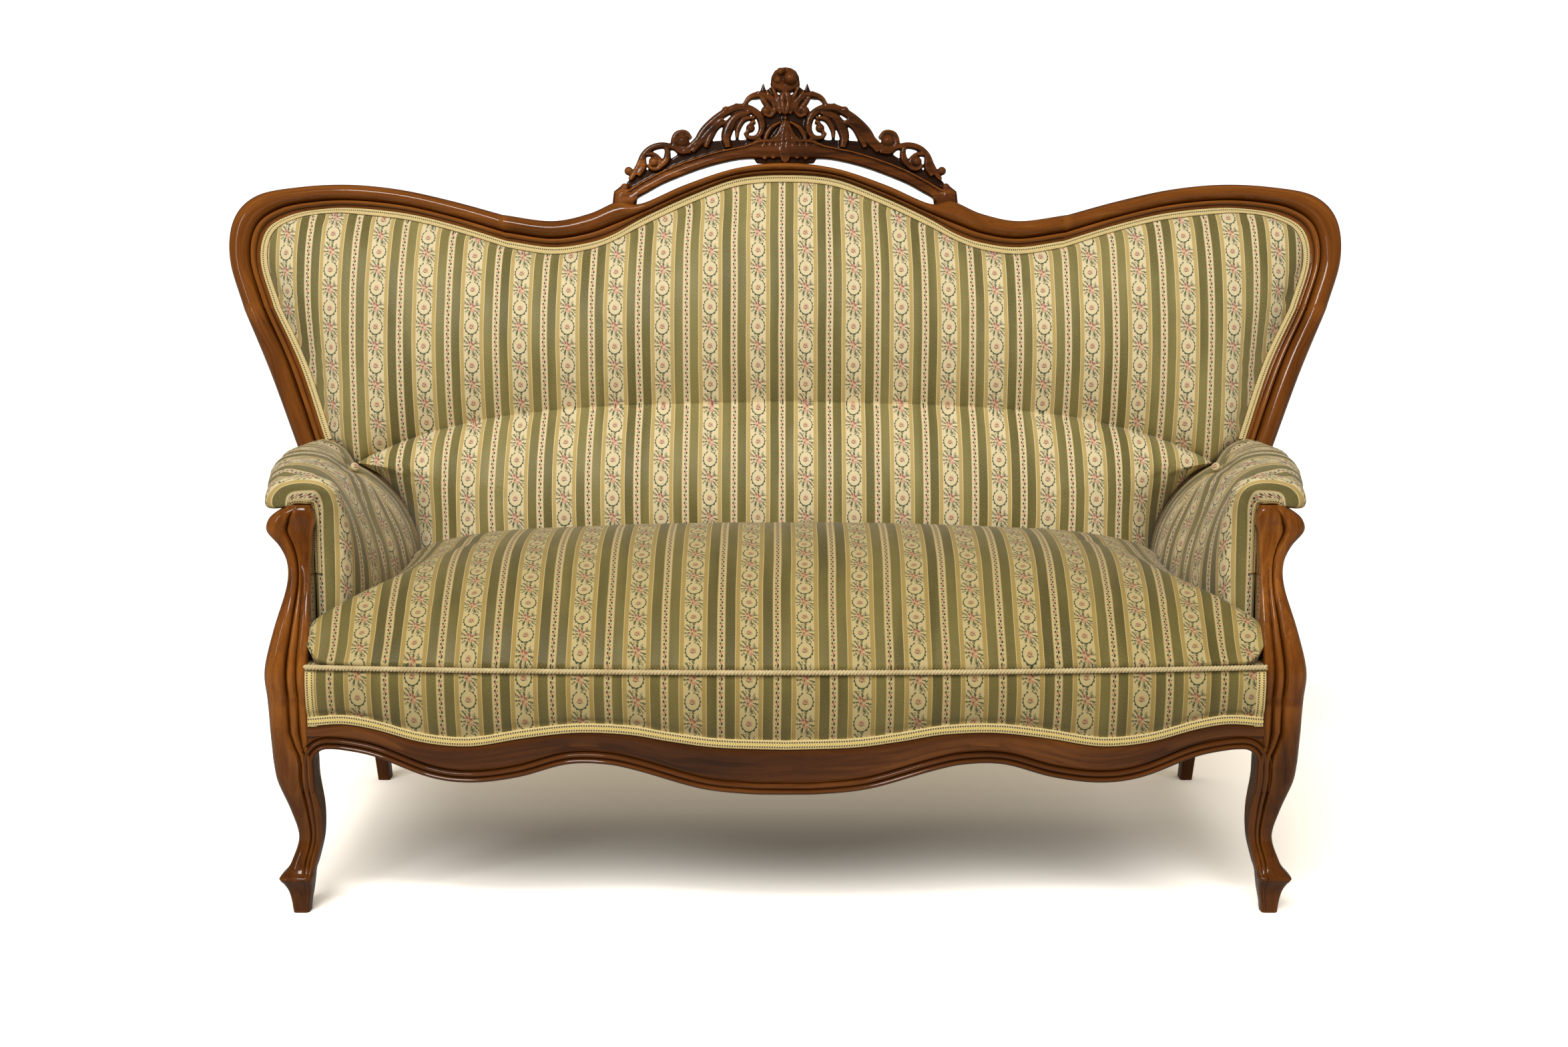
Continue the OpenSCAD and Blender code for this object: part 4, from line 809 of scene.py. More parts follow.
def braidFinish(name, rows, middle=None):
    # rows: where the rows of holes run; middle: where a raised stripe runs
    b = braidLook
    material, inputs, m = principled(name, 0.75)
    coordinates = m.weaveUv()
    drawn = [m.shared(braidGroup, coordinates, Row=row).outputs for row in rows]
    holes, rib = m.most(*[row["Mask"] for row in drawn]), drawn[-1]["Rib"]
    along, across, _ = m.parts(coordinates)
    thread = m.streaks((along, across), (b["threads"], b["threads"]))
    colour = m.mixed(m.step(thread, *b["threadTone"]), b["dark"], b["pale"])
    if middle is not None:
        stripe = m.near(across, middle, *b["middleWidth"])
        colour = m.mixed(stripe, colour, m.mixed(rib, b["middleDark"], b["middlePale"]))
    # Painted shade: the holes are coloured dark, as the shade seen through them
    m.put(inputs["Base Color"], m.mixed(m.mul(holes, b["holeShare"]), colour, b["hole"]))
    m.put(inputs["Normal"], m.bump(m.shares((thread, 0.3), (rib, 0.35), (holes, -1.0)), *b["bump"]))
    return material


braidMaterial = braidFinish("braid", [0.0045])
seatBraidMaterial = braidFinish("braidDouble", [0.0033, 0.0097], 0.0065)
cordPale = threadFinish("cordPale", sRgb(214, 196, 150), sRgb(172, 150, 100))
cordOlive = threadFinish("cordOlive", sRgb(140, 130, 80), sRgb(98, 88, 48))
wireMaterial = plainMaterial("springWire", (0.28, 0.22, 0.17), 0.4, 0.9)
steelMaterial = plainMaterial("screwSteel", (0.4, 0.38, 0.35), 0.35, 0.9)
print("materials made")

# Back frame
backFrame = dict(
    profile=[[0.05, 0], [1, 0], [1, 0.62], [0.95, 0.655], [0.92, 0.67], [0.9, 0.67], [0.885, 0.71], [0.87, 0.79],
             [0.835, 0.84], [0.79, 0.855], [0.745, 0.83], [0.72, 0.77], [0.708, 0.69], [0.695, 0.65],
             [0.68, 0.69], [0.655, 0.79], [0.61, 0.875], [0.54, 0.945], [0.46, 0.985], [0.37, 1.0],
             [0.27, 0.985], [0.18, 0.945], [0.11, 0.875], [0.055, 0.765], [0.02, 0.62], [0, 0.45], [0, 0.3],
             [0.015, 0.1]],
    plain=[[0, 0], [1, 0], [1, 0.9], [0.99, 0.94], [0.97, 0.97], [0.95, 0.985], [0.93, 0.995], [0.9, 1],
           [0.86, 1], [0.82, 1], [0.78, 1], [0.75, 1], [0.72, 1], [0.69, 1],
           [0.66, 1], [0.62, 1], [0.57, 1], [0.52, 1], [0.46, 1], [0.37, 1],
           [0.27, 1], [0.18, 1], [0.1, 0.995], [0.05, 0.98], [0.02, 0.95], [0, 0.9], [0, 0.5],
           [0, 0.1]],
    stile=[[0.872, 0.580, 0.823, 0.592], [0.923, 0.700, 0.868, 0.709], [0.971, 0.800, 0.917, 0.802]],
    corner=[[0.971, 0.800, 0.917, 0.802], [0.998, 0.880, 0.942, 0.875], [0.992, 0.944, 0.932, 0.926],
            [0.952, 0.982, 0.888, 0.951], [0.876, 0.996, 0.826, 0.961], [0.785, 1.000, 0.766, 0.962],
            [0.692, 0.992, 0.677, 0.953], [0.599, 0.974, 0.588, 0.934], [0.508, 0.952, 0.500, 0.910]],
    arch=[[0.508, 0.952, 0.500, 0.910], [0.420, 0.942, 0.421, 0.900], [0.352, 0.954, 0.358, 0.906],
          [0.299, 0.974, 0.309, 0.920], [0.259, 0.969, 0.251, 0.949], [0.180, 0.999, 0.167, 0.983],
          [0.090, 1.025, 0.086, 1.009], [0, 1.034, 0, 1.015]],
    leg=[[0, 1, 1], [0.25, 0.9, 0.91], [0.5, 0.6, 0.64], [0.72, 0.3, 0.3], [0.92, 0, 0.04]],
    heelSweep=0.184, footShift=0.012, postIn=0.688, postW=0.042, footW=0.020, footT=0.032, steps=8,
    legSteps=5, overlap=0.004, blend=np.linspace(0, 0.9, 10), endShrink=0.985, endRun=0.0012)


def flipEdges(edges):
    return np.array([[-e[0], e[1], -e[2], e[3]] for e in edges[-2::-1]])


def frameRing(edge, profile):
    s = np.asarray(profile)
    x = mix(edge[0], edge[2], s[:, 0]) * sofa["halfWidth"]
    z = mix(edge[1], edge[3], s[:, 0]) * sofa["shoulderHeight"]
    return onPlane(x, z, (s[:, 1] - 1) * sofa["frameT"])


def postRing(xIn, xOut, yFront, yBack, z):
    s = np.asarray(backFrame["plain"])
    return np.stack([mix(xOut, xIn, s[:, 0]), mix(yBack, yFront, s[:, 1]), np.full(len(s), z)], axis=1)


def sweptFrame(name, edges):
    rings = [frameRing(e, backFrame["profile"]) for e in edges]

    def end(ring, inner):
        # Drawn in a little, so that a joint shows as a fine line
        centre = ring.mean(axis=0)
        step = inner.mean(axis=0) - centre
        tight = centre + (ring - centre) * backFrame["endShrink"]
        return [tight, ring + step / np.linalg.norm(step) * backFrame["endRun"]]

    first, last = end(rings[0], rings[1]), end(rings[-1], rings[-2])
    return loft(name, first + rings[1:-1] + last[::-1])


stileCurve = smooth(backFrame["stile"], backFrame["steps"])
cornerCurve = smooth(backFrame["corner"], backFrame["steps"])
archHalf = np.array(backFrame["arch"])
archCurve = smooth(np.vstack([archHalf, flipEdges(archHalf)]), backFrame["steps"])


def buildPost(name):
    b, s = backFrame, sofa
    rings = []
    for height, blend, sweep in smooth(b["leg"], b["legSteps"]):
        w, t = mix(b["postW"], b["footW"], blend), mix(s["frameT"], b["footT"], blend)
        y = s["backY"] + sweep * b["heelSweep"]
        x = b["postIn"] - b["footShift"] * (1 - height)
        rings.append(postRing(x, x + w, y, y + t, height * s["railBottom"]))
    low = postRing(b["postIn"], b["postIn"] + b["postW"], s["backY"], s["backY"] + s["frameT"],
                   s["railTop"] + b["overlap"])
    high = frameRing(stileCurve[0], b["profile"])
    rings += [mix(low, high, t) for t in b["blend"]]
    rings += [frameRing(e, b["profile"]) for e in stileCurve]
    return loft(name, rings)


placePair(buildPost("backPostRight"), "backPostLeft", woodMaterial, "show_wood",
          ["right_back_post"], ["left_back_post"])
placePair(sweptFrame("shoulderRailRight", cornerCurve), "shoulderRailLeft", woodMaterial, "show_wood",
          ["right_shoulder_rail"], ["left_shoulder_rail"])
place(sweptFrame("archRail", archCurve), woodMaterial, "show_wood", "arch_rail")
print("back frame made")

# Front rail, with the moulding that runs on down the legs. Its section has the depth behind the front,
# the share of the height from the rebate down to the lower edge, and a rise.
apron = dict(
    low=[[0, 0], [0.08, 0.02], [0.18, 0.16], [0.31, 0.6], [0.38, 0.76], [0.46, 0.74],
         [0.56, 0.40], [0.66, 0.24], [0.75, 0.36], [0.86, 0.84], [0.93, 1], [0.97, 1.02], [1.02, 1.02]],
    high=[[0, 0], [0.14, 0.05], [0.24, 0.2], [0.33, 0.37], [0.44, 0.4], [0.55, 0.24],
          [0.66, 0.02], [0.76, 0.1], [0.86, 0.4], [0.93, 0.52], [1, 0.45]],
    section=[[0.0028, 0, 0], [0.0012, 0, -0.001], [0.0006, 0, -0.003], [0.0004, 0.25, 0], [0.0010, 0.45, 0],
             [0.0014, 1, 0.024], [0.0010, 1, 0.0205], [0.0018, 1, 0.019], [0.0045, 1, 0.0175],
             [0.0045, 1, 0.002]],
    base=0.182, rise=0.055, face=0.064, thickness=0.028, rebate=0.005, lip=0.002, stations=200, past=0.006,
    steps=6)
lowCurve = smooth(apron["low"], apron["steps"])
highCurve = smooth(apron["high"], apron["steps"])


def apronLow(x):
    return apron["base"] + apron["rise"] * lookup(np.abs(x) / sofa["kneeX"], lowCurve)


def apronHigh(x):
    return apron["base"] + apron["face"] + apron["rise"] * lookup(np.abs(x) / sofa["kneeX"], highCurve)


def frontRailRing(x):
    a, top, low, y = apron, float(apronHigh(x)), float(apronLow(x)), float(bowY(x))
    ring = [[a["thickness"], low + a["lip"]], [a["thickness"], sofa["railTop"]],
            [a["rebate"], sofa["railTop"]], [a["rebate"], top]]
    ring += [[depth, mix(top, low, share) + rise] for depth, share, rise in a["section"]]
    return [[x, y + depth, z] for depth, z in ring]


# Rows of a leg: height, inner and outer side, front and back, carving, and warp of the beads.
# Rows of a support: height, the same four sides, lean, and the change from its base to its head.
# The outlines run round a ring, from the back of the inner side over the front to the outer side.
innerSide = [[0.03, 1], [0, 0.95], [0, 0.7], [0, 0.4]]
outerSide = [[0.97, 0.93], [0.9, 1], [0.65, 1], [0.3, 1]]
leg = dict(
    rows=[[0, 0.20, 0.59, 0.22, 0.68, 0, 1], [0.05, 0.17, 0.62, 0.19, 0.70, 0, 1],
          [0.10, 0.12, 0.68, 0.14, 0.74, 0, 1], [0.14, 0.09, 0.78, 0.04, 0.78, 0, 1],
          [0.165, 0.07, 0.87, -0.05, 0.80, 0, 1], [0.178, 0.065, 0.85, -0.05, 0.80, 0.1, 0.7],
          [0.20, 0.05, 0.74, 0.06, 0.80, 0.4, 0.7], [0.24, 0.00, 0.62, 0.17, 0.80, 0.9, 0.66],
          [0.35, -0.12, 0.46, 0.33, 0.88, 1, 0.64], [0.48, -0.13, 0.63, 0.22, 0.92, 1, 0.7],
          [0.62, -0.02, 0.90, 0.02, 0.98, 1, 0.9], [0.71, 0, 0.98, -0.03, 1, 1, 1]],
    knee=[[0.755, 0.02, 1, -0.03, 1, 0.6, 1], [0.79, 0.06, 1.01, -0.03, 1, 0.3, 1],
          [0.86, 0.06, 1.03, -0.02, 1, 0, 1], [0.93, 0.06, 1.05, 0, 1, 0, 1], [1, 0.06, 1.08, 0.03, 1, 0, 1]],
    front=innerSide + [
        [0, 0.2], [0, 0.1], [0.01, 0.05], [0.035, 0.015], [0.06, 0], [0.09, 0.015], [0.112, 0.045], [0.12, 0.06],
        [0.13, 0.045], [0.155, 0.015], [0.185, 0], [0.215, 0.015], [0.245, 0.06], [0.265, 0.1], [0.288, 0.06],
        [0.32, 0.015], [0.4, 0], [0.52, 0], [0.62, 0.01], [0.72, 0.035], [0.8, 0.07], [0.87, 0.12], [0.94, 0.22],
        [0.98, 0.35], [1, 0.5], [1, 0.75]] + outerSide,
    steps=7, square=0.42, fade=(0.74, 0.86), leastWarp=0.5)
support = dict(
    rows=[[0, 0.06, 1.08, 0.03, 1, 0, 0], [0.16, 0.06, 1.12, -0.03, 1.02, 0, 0.1],
          [0.36, 0.04, 0.93, 0, 1, 0.2, 0.2], [0.57, 0.08, 0.68, 0.08, 0.88, 0.6, 0.45],
          [0.69, 0.1, 0.68, 0.08, 0.86, 0.8, 0.75], [0.78, 0.08, 0.87, 0.02, 0.86, 0.92, 1],
          [0.86, 0.06, 1.18, -0.04, 0.88, 1, 1],
          [0.92, 0, 1.14, -0.02, 0.88, 1, 1], [0.965, 0.04, 0.92, 0.04, 0.88, 1, 1],
          [1, 0.10, 0.60, 0.16, 0.88, 1, 1]],
    base=innerSide + [
        [0, 0.25], [0.01, 0.15], [0.03, 0.09], [0.06, 0.06], [0.1, 0.05], [0.16, 0.05], [0.2, 0.08],
        [0.235, 0.14], [0.26, 0.08], [0.3, 0.03], [0.35, 0.015], [0.4, 0.03], [0.44, 0.09], [0.465, 0.15],
        [0.49, 0.09], [0.53, 0.03], [0.59, 0.005], [0.66, 0], [0.72, 0.005], [0.79, 0.03], [0.86, 0.08],
        [0.93, 0.17], [0.975, 0.3], [1, 0.48], [1, 0.62], [1, 0.78]] + outerSide,
    head=innerSide + [
        [0, 0.25], [0, 0.18], [0.01, 0.14], [0.05, 0.13], [0.1, 0.13], [0.2, 0.13], [0.3, 0.13],
        [0.4, 0.13], [0.44, 0.13], [0.47, 0.13], [0.49, 0.14], [0.505, 0.16], [0.52, 0.2], [0.535, 0.23],
        [0.55, 0.16], [0.58, 0.06], [0.62, 0.015], [0.68, 0], [0.74, 0.005], [0.8, 0.025], [0.87, 0.07],
        [0.93, 0.15], [0.975, 0.28], [1, 0.45], [1, 0.6], [1, 0.78]] + outerSide,
    steps=8, flatTop=(0.9, 0.99))


def legFrontY(z):
    rows = np.array(leg["rows"] + leg["knee"])
    return sofa["legY"] + sofa["kneeD"] * np.interp(z / sofa["legH"], rows[:, 0], rows[:, 3])


moulding = dict(
    section=[[0, 0.004], [0.0004, 0.0018], [0.0016, 0.0002], [0.0035, -0.0008], [0.0054, 0.0002], [0.0066, 0.0018],
             [0.0074, 0.0028], [0.0082, 0.0016], [0.0098, 0.0002], [0.0115, -0.0004], [0.0132, 0.0004],
             [0.0146, 0.0022], [0.016, 0.0036], [0.0174, 0.0022], [0.0185, 0.0012], [0.0195, 0.003],
             [0.0195, 0.018], [0, 0.018]],
    turnX=0.632, radius=0.021, endZ=0.176, railSteps=120, turns=np.linspace(10, 90, 9), levels=7, inward=0.02)


def mouldingPath():
    # Lower edge of the rail, a quarter turn, and the inner edge of the leg
    m = moulding
    rows = [[x, float(apronLow(x)), float(bowY(x))] for x in np.linspace(0, m["turnX"], m["railSteps"])]
    endY, z = rows[-1][2], rows[-1][1] - m["radius"]
    for turn in m["turns"]:
        a = math.radians(turn)
        rows.append([m["turnX"] + m["radius"] * math.sin(a), z + m["radius"] * math.cos(a),
                     mix(endY, float(legFrontY(z)), turn / 90)])
    for level in np.linspace(z, m["endZ"], m["levels"])[1:]:
        rows.append([m["turnX"] + m["radius"] - m["inward"] * (z - level), level, float(legFrontY(level))])
    half = np.array(rows)
    return np.vstack([half[:0:-1] * [-1, 1, 1], half])


def mouldingRings():
    path = mouldingPath()
    ahead = heading(path[:, :2])
    inward = np.stack([-ahead[:, 1], ahead[:, 0]], axis=1)
    return [[[p[0] + n[0] * r, p[2] + dy, p[1] + n[1] * r] for r, dy in moulding["section"]]
            for p, n in zip(path, inward)]


reach = sofa["kneeX"] + apron["past"]
railXs = np.linspace(-reach, reach, apron["stations"] + 1)
board = loft("board", [frontRailRing(x) for x in railXs], crease=50)
bead = loft("bead", mouldingRings(), crease=50)
place(joined("frontRail", [board, bead]), shadedRailMaterial, "show_wood", "front_rail")
print("front rail made")


def uprightRing(s, y, z, outline, carve, warp=1.0):
    # A level ring between a rounded square and a moulded outline, whose beads shift outward with warp
    p = np.asarray(outline, float)
    turn = np.arctan2(p[:, 1] - 0.5, p[:, 0] - 0.5)
    cosine, sine = np.cos(turn), np.sin(turn)
    power = 2 / leg["square"]
    size = (np.abs(cosine) ** power + np.abs(sine) ** power) ** (-1 / power)
    plain = np.stack([0.5 + 0.5 * cosine * size, 0.5 + 0.5 * sine * size], axis=1)
    shaped = np.stack([p[:, 0] ** warp, p[:, 1]], axis=1)
    ring = mix(plain, shaped, carve)
    x, w, d = sofa["kneeX"], sofa["kneeW"], sofa["kneeD"]
    return np.stack([mix(x + s[1] * w, x + s[2] * w, ring[:, 0]), mix(y + s[3] * d, y + s[4] * d, ring[:, 1]),
                     np.full(len(p), z)], axis=1)


def buildLeg(name):
    rings = []
    for s in np.vstack([smooth(leg["rows"], leg["steps"]), leg["knee"]]):
        outline = mix(np.array(leg["front"]), np.array(support["base"]), ramp(*leg["fade"], s[0]))
        carve = 1 if s[0] > leg["fade"][0] else np.clip(s[5], 0, 1)
        rings.append(uprightRing(s, sofa["legY"], s[0] * sofa["legH"], outline, carve,
                                 np.clip(s[6], leg["leastWarp"], 1)))
    return loft(name, rings)


def buildSupport(name):
    rings = []
    for s in smooth(support["rows"], support["steps"]):
        outline = mix(np.array(support["base"]), np.array(support["head"]), np.clip(s[6], 0, 1))
        y = sofa["legY"] + s[5] * sofa["supportLean"]
        z = sofa["legH"] + s[0] * (sofa["supportH"] - sofa["legH"])
        rings.append(uprightRing(s, y, z, outline, 1 - ramp(*support["flatTop"], s[0])))
    return loft(name, rings)


placePair(buildLeg("frontLegRight"), "frontLegLeft", uprightMaterial, "show_wood",
          ["right_front_leg"], ["left_front_leg"])
placePair(buildSupport("armSupportRight"), "armSupportLeft", uprightMaterial, "show_wood",
          ["right_arm_support"], ["left_arm_support"])
print("legs and supports made")

# Crest. Its lines are read off the photo as columns, rows and widths in one drawing scale.
crest = dict(
    middle=1232, foot=757, across=0.0002176, up=0.0002174, top=1.034 * sofa["shoulderHeight"],
    back=0.8 * sofa["frameT"], thickness=0.017, voxel=0.0011, relax=0.5, relaxSteps=6, fuller=1.42, sides=18,
    depth=0.55, vein=0.14, veinWidth=0.28, veinFrom=0.004, softFront=0.002, ballForward=0.0022,
    railSection=[[0, -0.5], [0, 0.2], [0.05, 0.38], [0.16, 0.5], [0.4, 0.54], [0.6, 0.5], [0.7, 0.36],
                 [0.75, 0.28], [0.8, 0.34], [0.86, 0.54], [0.93, 0.56], [1, 0.3], [1, -0.5]],
    railUnder=[[14, 1075], [60, 1092], [108, 1062], [122, 1034], [200, 990], [310, 930], [480, 860],
               [640, 804], [800, 763], [920, 744], [1060, 740], [1232, 739]],
    railOver=[[35, 985], [100, 945], [230, 874], [350, 815], [480, 764], [700, 694], [860, 660],
              [950, 640], [1040, 604], [1232, 596]],
    end=[[-60, 985], [0, 938], [50, 955], [118, 1030], [110, 1085], [40, 1125], [-80, 1165]],
    ground=[[20, 960], [40, 905], [100, 880], [155, 832], [200, 820], [250, 800], [290, 785], [430, 700], [500, 685],
            [690, 605], [780, 600], [900, 598], [1050, 590], [1050, 650], [820, 690], [560, 770], [310, 880],
            [150, 945]],
    plate=[[1232, 240], [1180, 262], [1140, 330], [1100, 400], [1060, 430], [1058, 520], [1055, 600], [1000, 632],
           [965, 680], [1015, 772], [1232, 782]],
    tip=[[955, 300], [985, 262], [1020, 232], [1032, 262], [1066, 172], [1088, 232], [1128, 200], [1186, 300],
         [1196, 400], [1150, 420], [1120, 330], [1060, 290]],
    bulb=[[1232, 236], [1205, 250], [1184, 285], [1186, 330], [1197, 380], [1212, 412], [1232, 420]],
    finial=[[1232, 58], [1190, 64], [1152, 86], [1128, 128], [1120, 190], [1150, 226], [1190, 246], [1232, 252]],
    spear=[[1232, 450], [1222, 470], [1200, 560], [1192, 650], [1192, 720], [1208, 765], [1232, 778]],
    tubes=[
        [[62, 900, 26], [88, 865, 32], [130, 790, 34], [165, 715, 36], [222, 664, 36], [300, 643, 36],
         [380, 655, 34], [440, 672, 30], [505, 665, 26], [560, 640, 20]],
        [[182, 712, 22], [240, 712, 26], [286, 755, 28], [280, 812, 26], [232, 822, 24], [196, 788, 18]],
        [[172, 700, 18], [162, 750, 32], [158, 810, 40], [120, 868, 34]],
        [[330, 650, 20], [345, 700, 34], [330, 760, 40], [270, 820, 30]],
        [[520, 690, 26], [440, 690, 34], [392, 630, 34], [412, 560, 32], [478, 548, 30], [520, 590, 22]],
        [[556, 660, 30], [572, 610, 38], [612, 540, 44], [680, 470, 46], [760, 410, 46], [850, 366, 44],
         [930, 362, 44], [1000, 392, 44], [1044, 442, 42], [1056, 520, 38], [1022, 580, 32], [960, 586, 26],
         [926, 548, 18]],
        [[764, 446, 26], [700, 500, 46], [620, 585, 50], [530, 690, 30]],
        [[792, 466, 20], [712, 510, 34], [662, 590, 38], [630, 660, 26]],
        [[962, 398, 26], [864, 430, 46], [812, 500, 60], [786, 580, 54], [800, 660, 34]],
        [[1000, 438, 18], [922, 452, 30], [876, 520, 30], [868, 590, 18]],
        [[918, 350, 20], [958, 292, 30], [1020, 266, 36], [1090, 276, 36], [1140, 322, 34], [1152, 382, 30],
         [1120, 424, 26], [1072, 412, 18]],
        [[1216, 466, 12], [1182, 560, 34], [1132, 606, 20]],
        [[1184, 560, 20], [1166, 650, 44], [1140, 745, 24]],
        [[1134, 606, 20], [1100, 680, 40], [1074, 750, 22]],
        [[950, 645, 20], [1000, 632, 28], [1050, 598, 22]],
        [[1058, 640, 22], [1084, 704, 26], [1134, 682, 14]],
        [[1198, 410, 20], [1156, 330, 36], [1090, 240, 10]],
        [[1190, 380, 20], [1176, 300, 34], [1128, 208, 10]],
        [[1140, 400, 20], [1076, 320, 30], [1026, 240, 10]],
        [[1196, 470, 14], [1120, 520, 30], [1080, 600, 26], [1070, 680, 14]],
        [[700, 470, 24], [640, 520, 34], [560, 610, 34], [470, 690, 24]],
        [[1010, 470, 16], [980, 480, 26], [940, 560, 22]]],
    balls=[[22, 955, 30], [52, 835, 33], [240, 765, 38], [458, 612, 52], [785, 383, 33], [865, 353, 26],
           [1085, 385, 36], [970, 515, 35], [958, 662, 13]],
    centreBalls=[[1232, 440, 18], [1194, 150, 50, 0.0115], [1232, 205, 34], [1270, 100, 27, 0.0135],
                 [1290, 160, 26, 0.009]],
    tones=(sRgb(22, 12, 6), sRgb(84, 44, 16), sRgb(168, 100, 42)), relief=(0.0015, 0.0086))
crestN = crest["thickness"] / 2 - crest["back"]


def crestPoint(column, row, forward=0.0):
    # A place on the crest from the drawing, and a distance in front of its middle plane
    x = (crest["middle"] - np.asarray(column, float)) * crest["across"]
    z = crest["top"] + (crest["foot"] - np.asarray(row, float)) * crest["up"] - crestN * math.sin(sofa["rake"])
    return onPlane(x, z, crestN + np.asarray(forward, float))


crestFacing = crestPoint(0, 0, 1) - crestPoint(0, 0, 0)


def crestTube(line):
    # A stroke of the carving: a flattened tube with a vein along its front
    rows = smooth(line, 6)
    centre = crestPoint(rows[:, 0], rows[:, 1])
    side = np.cross(heading(centre), crestFacing)
    rings = []
    for i, row in enumerate(rows):
        r = row[2] * crest["across"] / 2 * crest["fuller"]
        ring = []
        for a in 2 * math.pi * np.arange(crest["sides"]) / crest["sides"]:
            lift = math.sin(a)
            if lift > 0:
                veined = bell(math.cos(a), 0, crest["veinWidth"]) * min(1, r / crest["veinFrom"])
                lift *= 1 - crest["vein"] * veined
            ring.append(centre[i] + side[i] * r * math.cos(a)
                        + crestFacing * crest["thickness"] * crest["depth"] * lift)
        rings.append(ring)
    return loft("stroke", rings)


def crestBall(column, row, radius, forward=crest["ballForward"]):
    bm = bmesh.new()
    bmesh.ops.create_uvsphere(bm, u_segments=20, v_segments=12, radius=radius * crest["across"])
    bmesh.ops.translate(bm, verts=bm.verts, vec=Vector(crestPoint(column, row, forward)))
    mesh = bpy.data.meshes.new("ball")
    bm.to_mesh(mesh)
    bm.free()
    return linked("ball", mesh)


def crestSlab(outline, back, front, soften=crest["softFront"]):
    # A flat piece of the carving from its outline, with softened front edges
    line = resample(np.vstack([outline, outline[:1]]), 90)[:-1]
    centre = line.mean(axis=0)
    away = np.linalg.norm((line - centre) * crest["across"], axis=1)
    rings = []
    for forward, inset in ((back, 0), (front - soften, 0), (front - soften * 0.3, soften * 0.5),
                           (front, soften * 1.4)):
        shrink = 1 - inset / np.maximum(away, 1e-4)
        points = centre + (line - centre) * shrink[:, None]
        rings.append(crestPoint(points[:, 0], points[:, 1], forward))
    return loft("slab", rings)


def crestRail():
    low, high = (resample(smooth(crest[key], 6), 70) for key in ("railUnder", "railOver"))
    return loft("rail", [[crestPoint(*mix(a, b, s), f * crest["thickness"]) for s, f in crest["railSection"]]
                         for a, b in zip(low, high)])


def buildCrest():
    c = crest
    t = c["thickness"] / 2
    halves = [crestRail(), crestSlab(c["ground"], -t, -0.001), crestSlab(c["plate"], -t, 0.0005),
              crestSlab(c["tip"], -t, 0.003), crestSlab(c["bulb"], -t, t + 0.003, 0.004),
              crestSlab(c["spear"], -0.002, t + 0.001), crestSlab(c["end"], -t, t + 0.001, 0.009),
              crestSlab(c["finial"], -t, t + 0.001, 0.006)]
    halves += [crestTube(line) for line in c["tubes"]]
    halves += [crestBall(*ball) for ball in c["balls"]]
    twins = [mirrorX(obj, "twin") for obj in halves]
    middle = [crestBall(*ball) for ball in c["centreBalls"]]
    whole = joined("crestCarving", halves + twins + middle)
    remesh = whole.modifiers.new("voxels", "REMESH")
    remesh.mode = "VOXEL"
    remesh.voxel_size = c["voxel"]
    relax = whole.modifiers.new("relax", "SMOOTH")
    relax.factor = c["relax"]
    relax.iterations = c["relaxSteps"]
    return finishMesh(bake(whole), 60)


# The carving: its sunk ground is darkened as painted shade
carvedMaterial = woodFinish("walnutCarved", "Object", crest["tones"], wearAndShade=0.9, coat=0.4,
                            relief=(crestFacing, float(crestFacing @ crestPoint(0, 0)), *crest["relief"]))
place(buildCrest(), carvedMaterial, "show_wood", "crest_carving")
print("crest made")

# Seat. corner has shares of the half width, and places in knee depths and overhangs.
seat = dict(
    overhang=0.016, cord=0.008, lumbarCrown=0.056, sideRise=0.043, backRise=0.074, lip=0.0072,
    crown=[[0, 0], [0.02, 0.15], [0.07, 0.33], [0.16, 0.54], [0.32, 0.78], [0.56, 0.95], [0.85, 1], [1, 1]],
    around=260, across=30, spine=0.62, spineY=0.52, fall=(0.40, 0.68, 0.55), spacing=1.5, inward=1.18,
    reach=0.95, bow=0.875, corner=[[0.970, 0, -0.5], [1.002, 0, 0.5], [1.007, 0.5, 0], [1.003, 1, 0]],
    sideSteps=13, baseIn=0.985, baseShift=0.004, baseLift=0.0004, weaveDrop=0.6, pressure=9.0)
seatFrontY = -seat["overhang"] + seat["cord"] / 2
seatBackY = float(onPlane(0, sofa["seatEdge"] + seat["backRise"], seat["lumbarCrown"])[1]) - sofa["gap"]

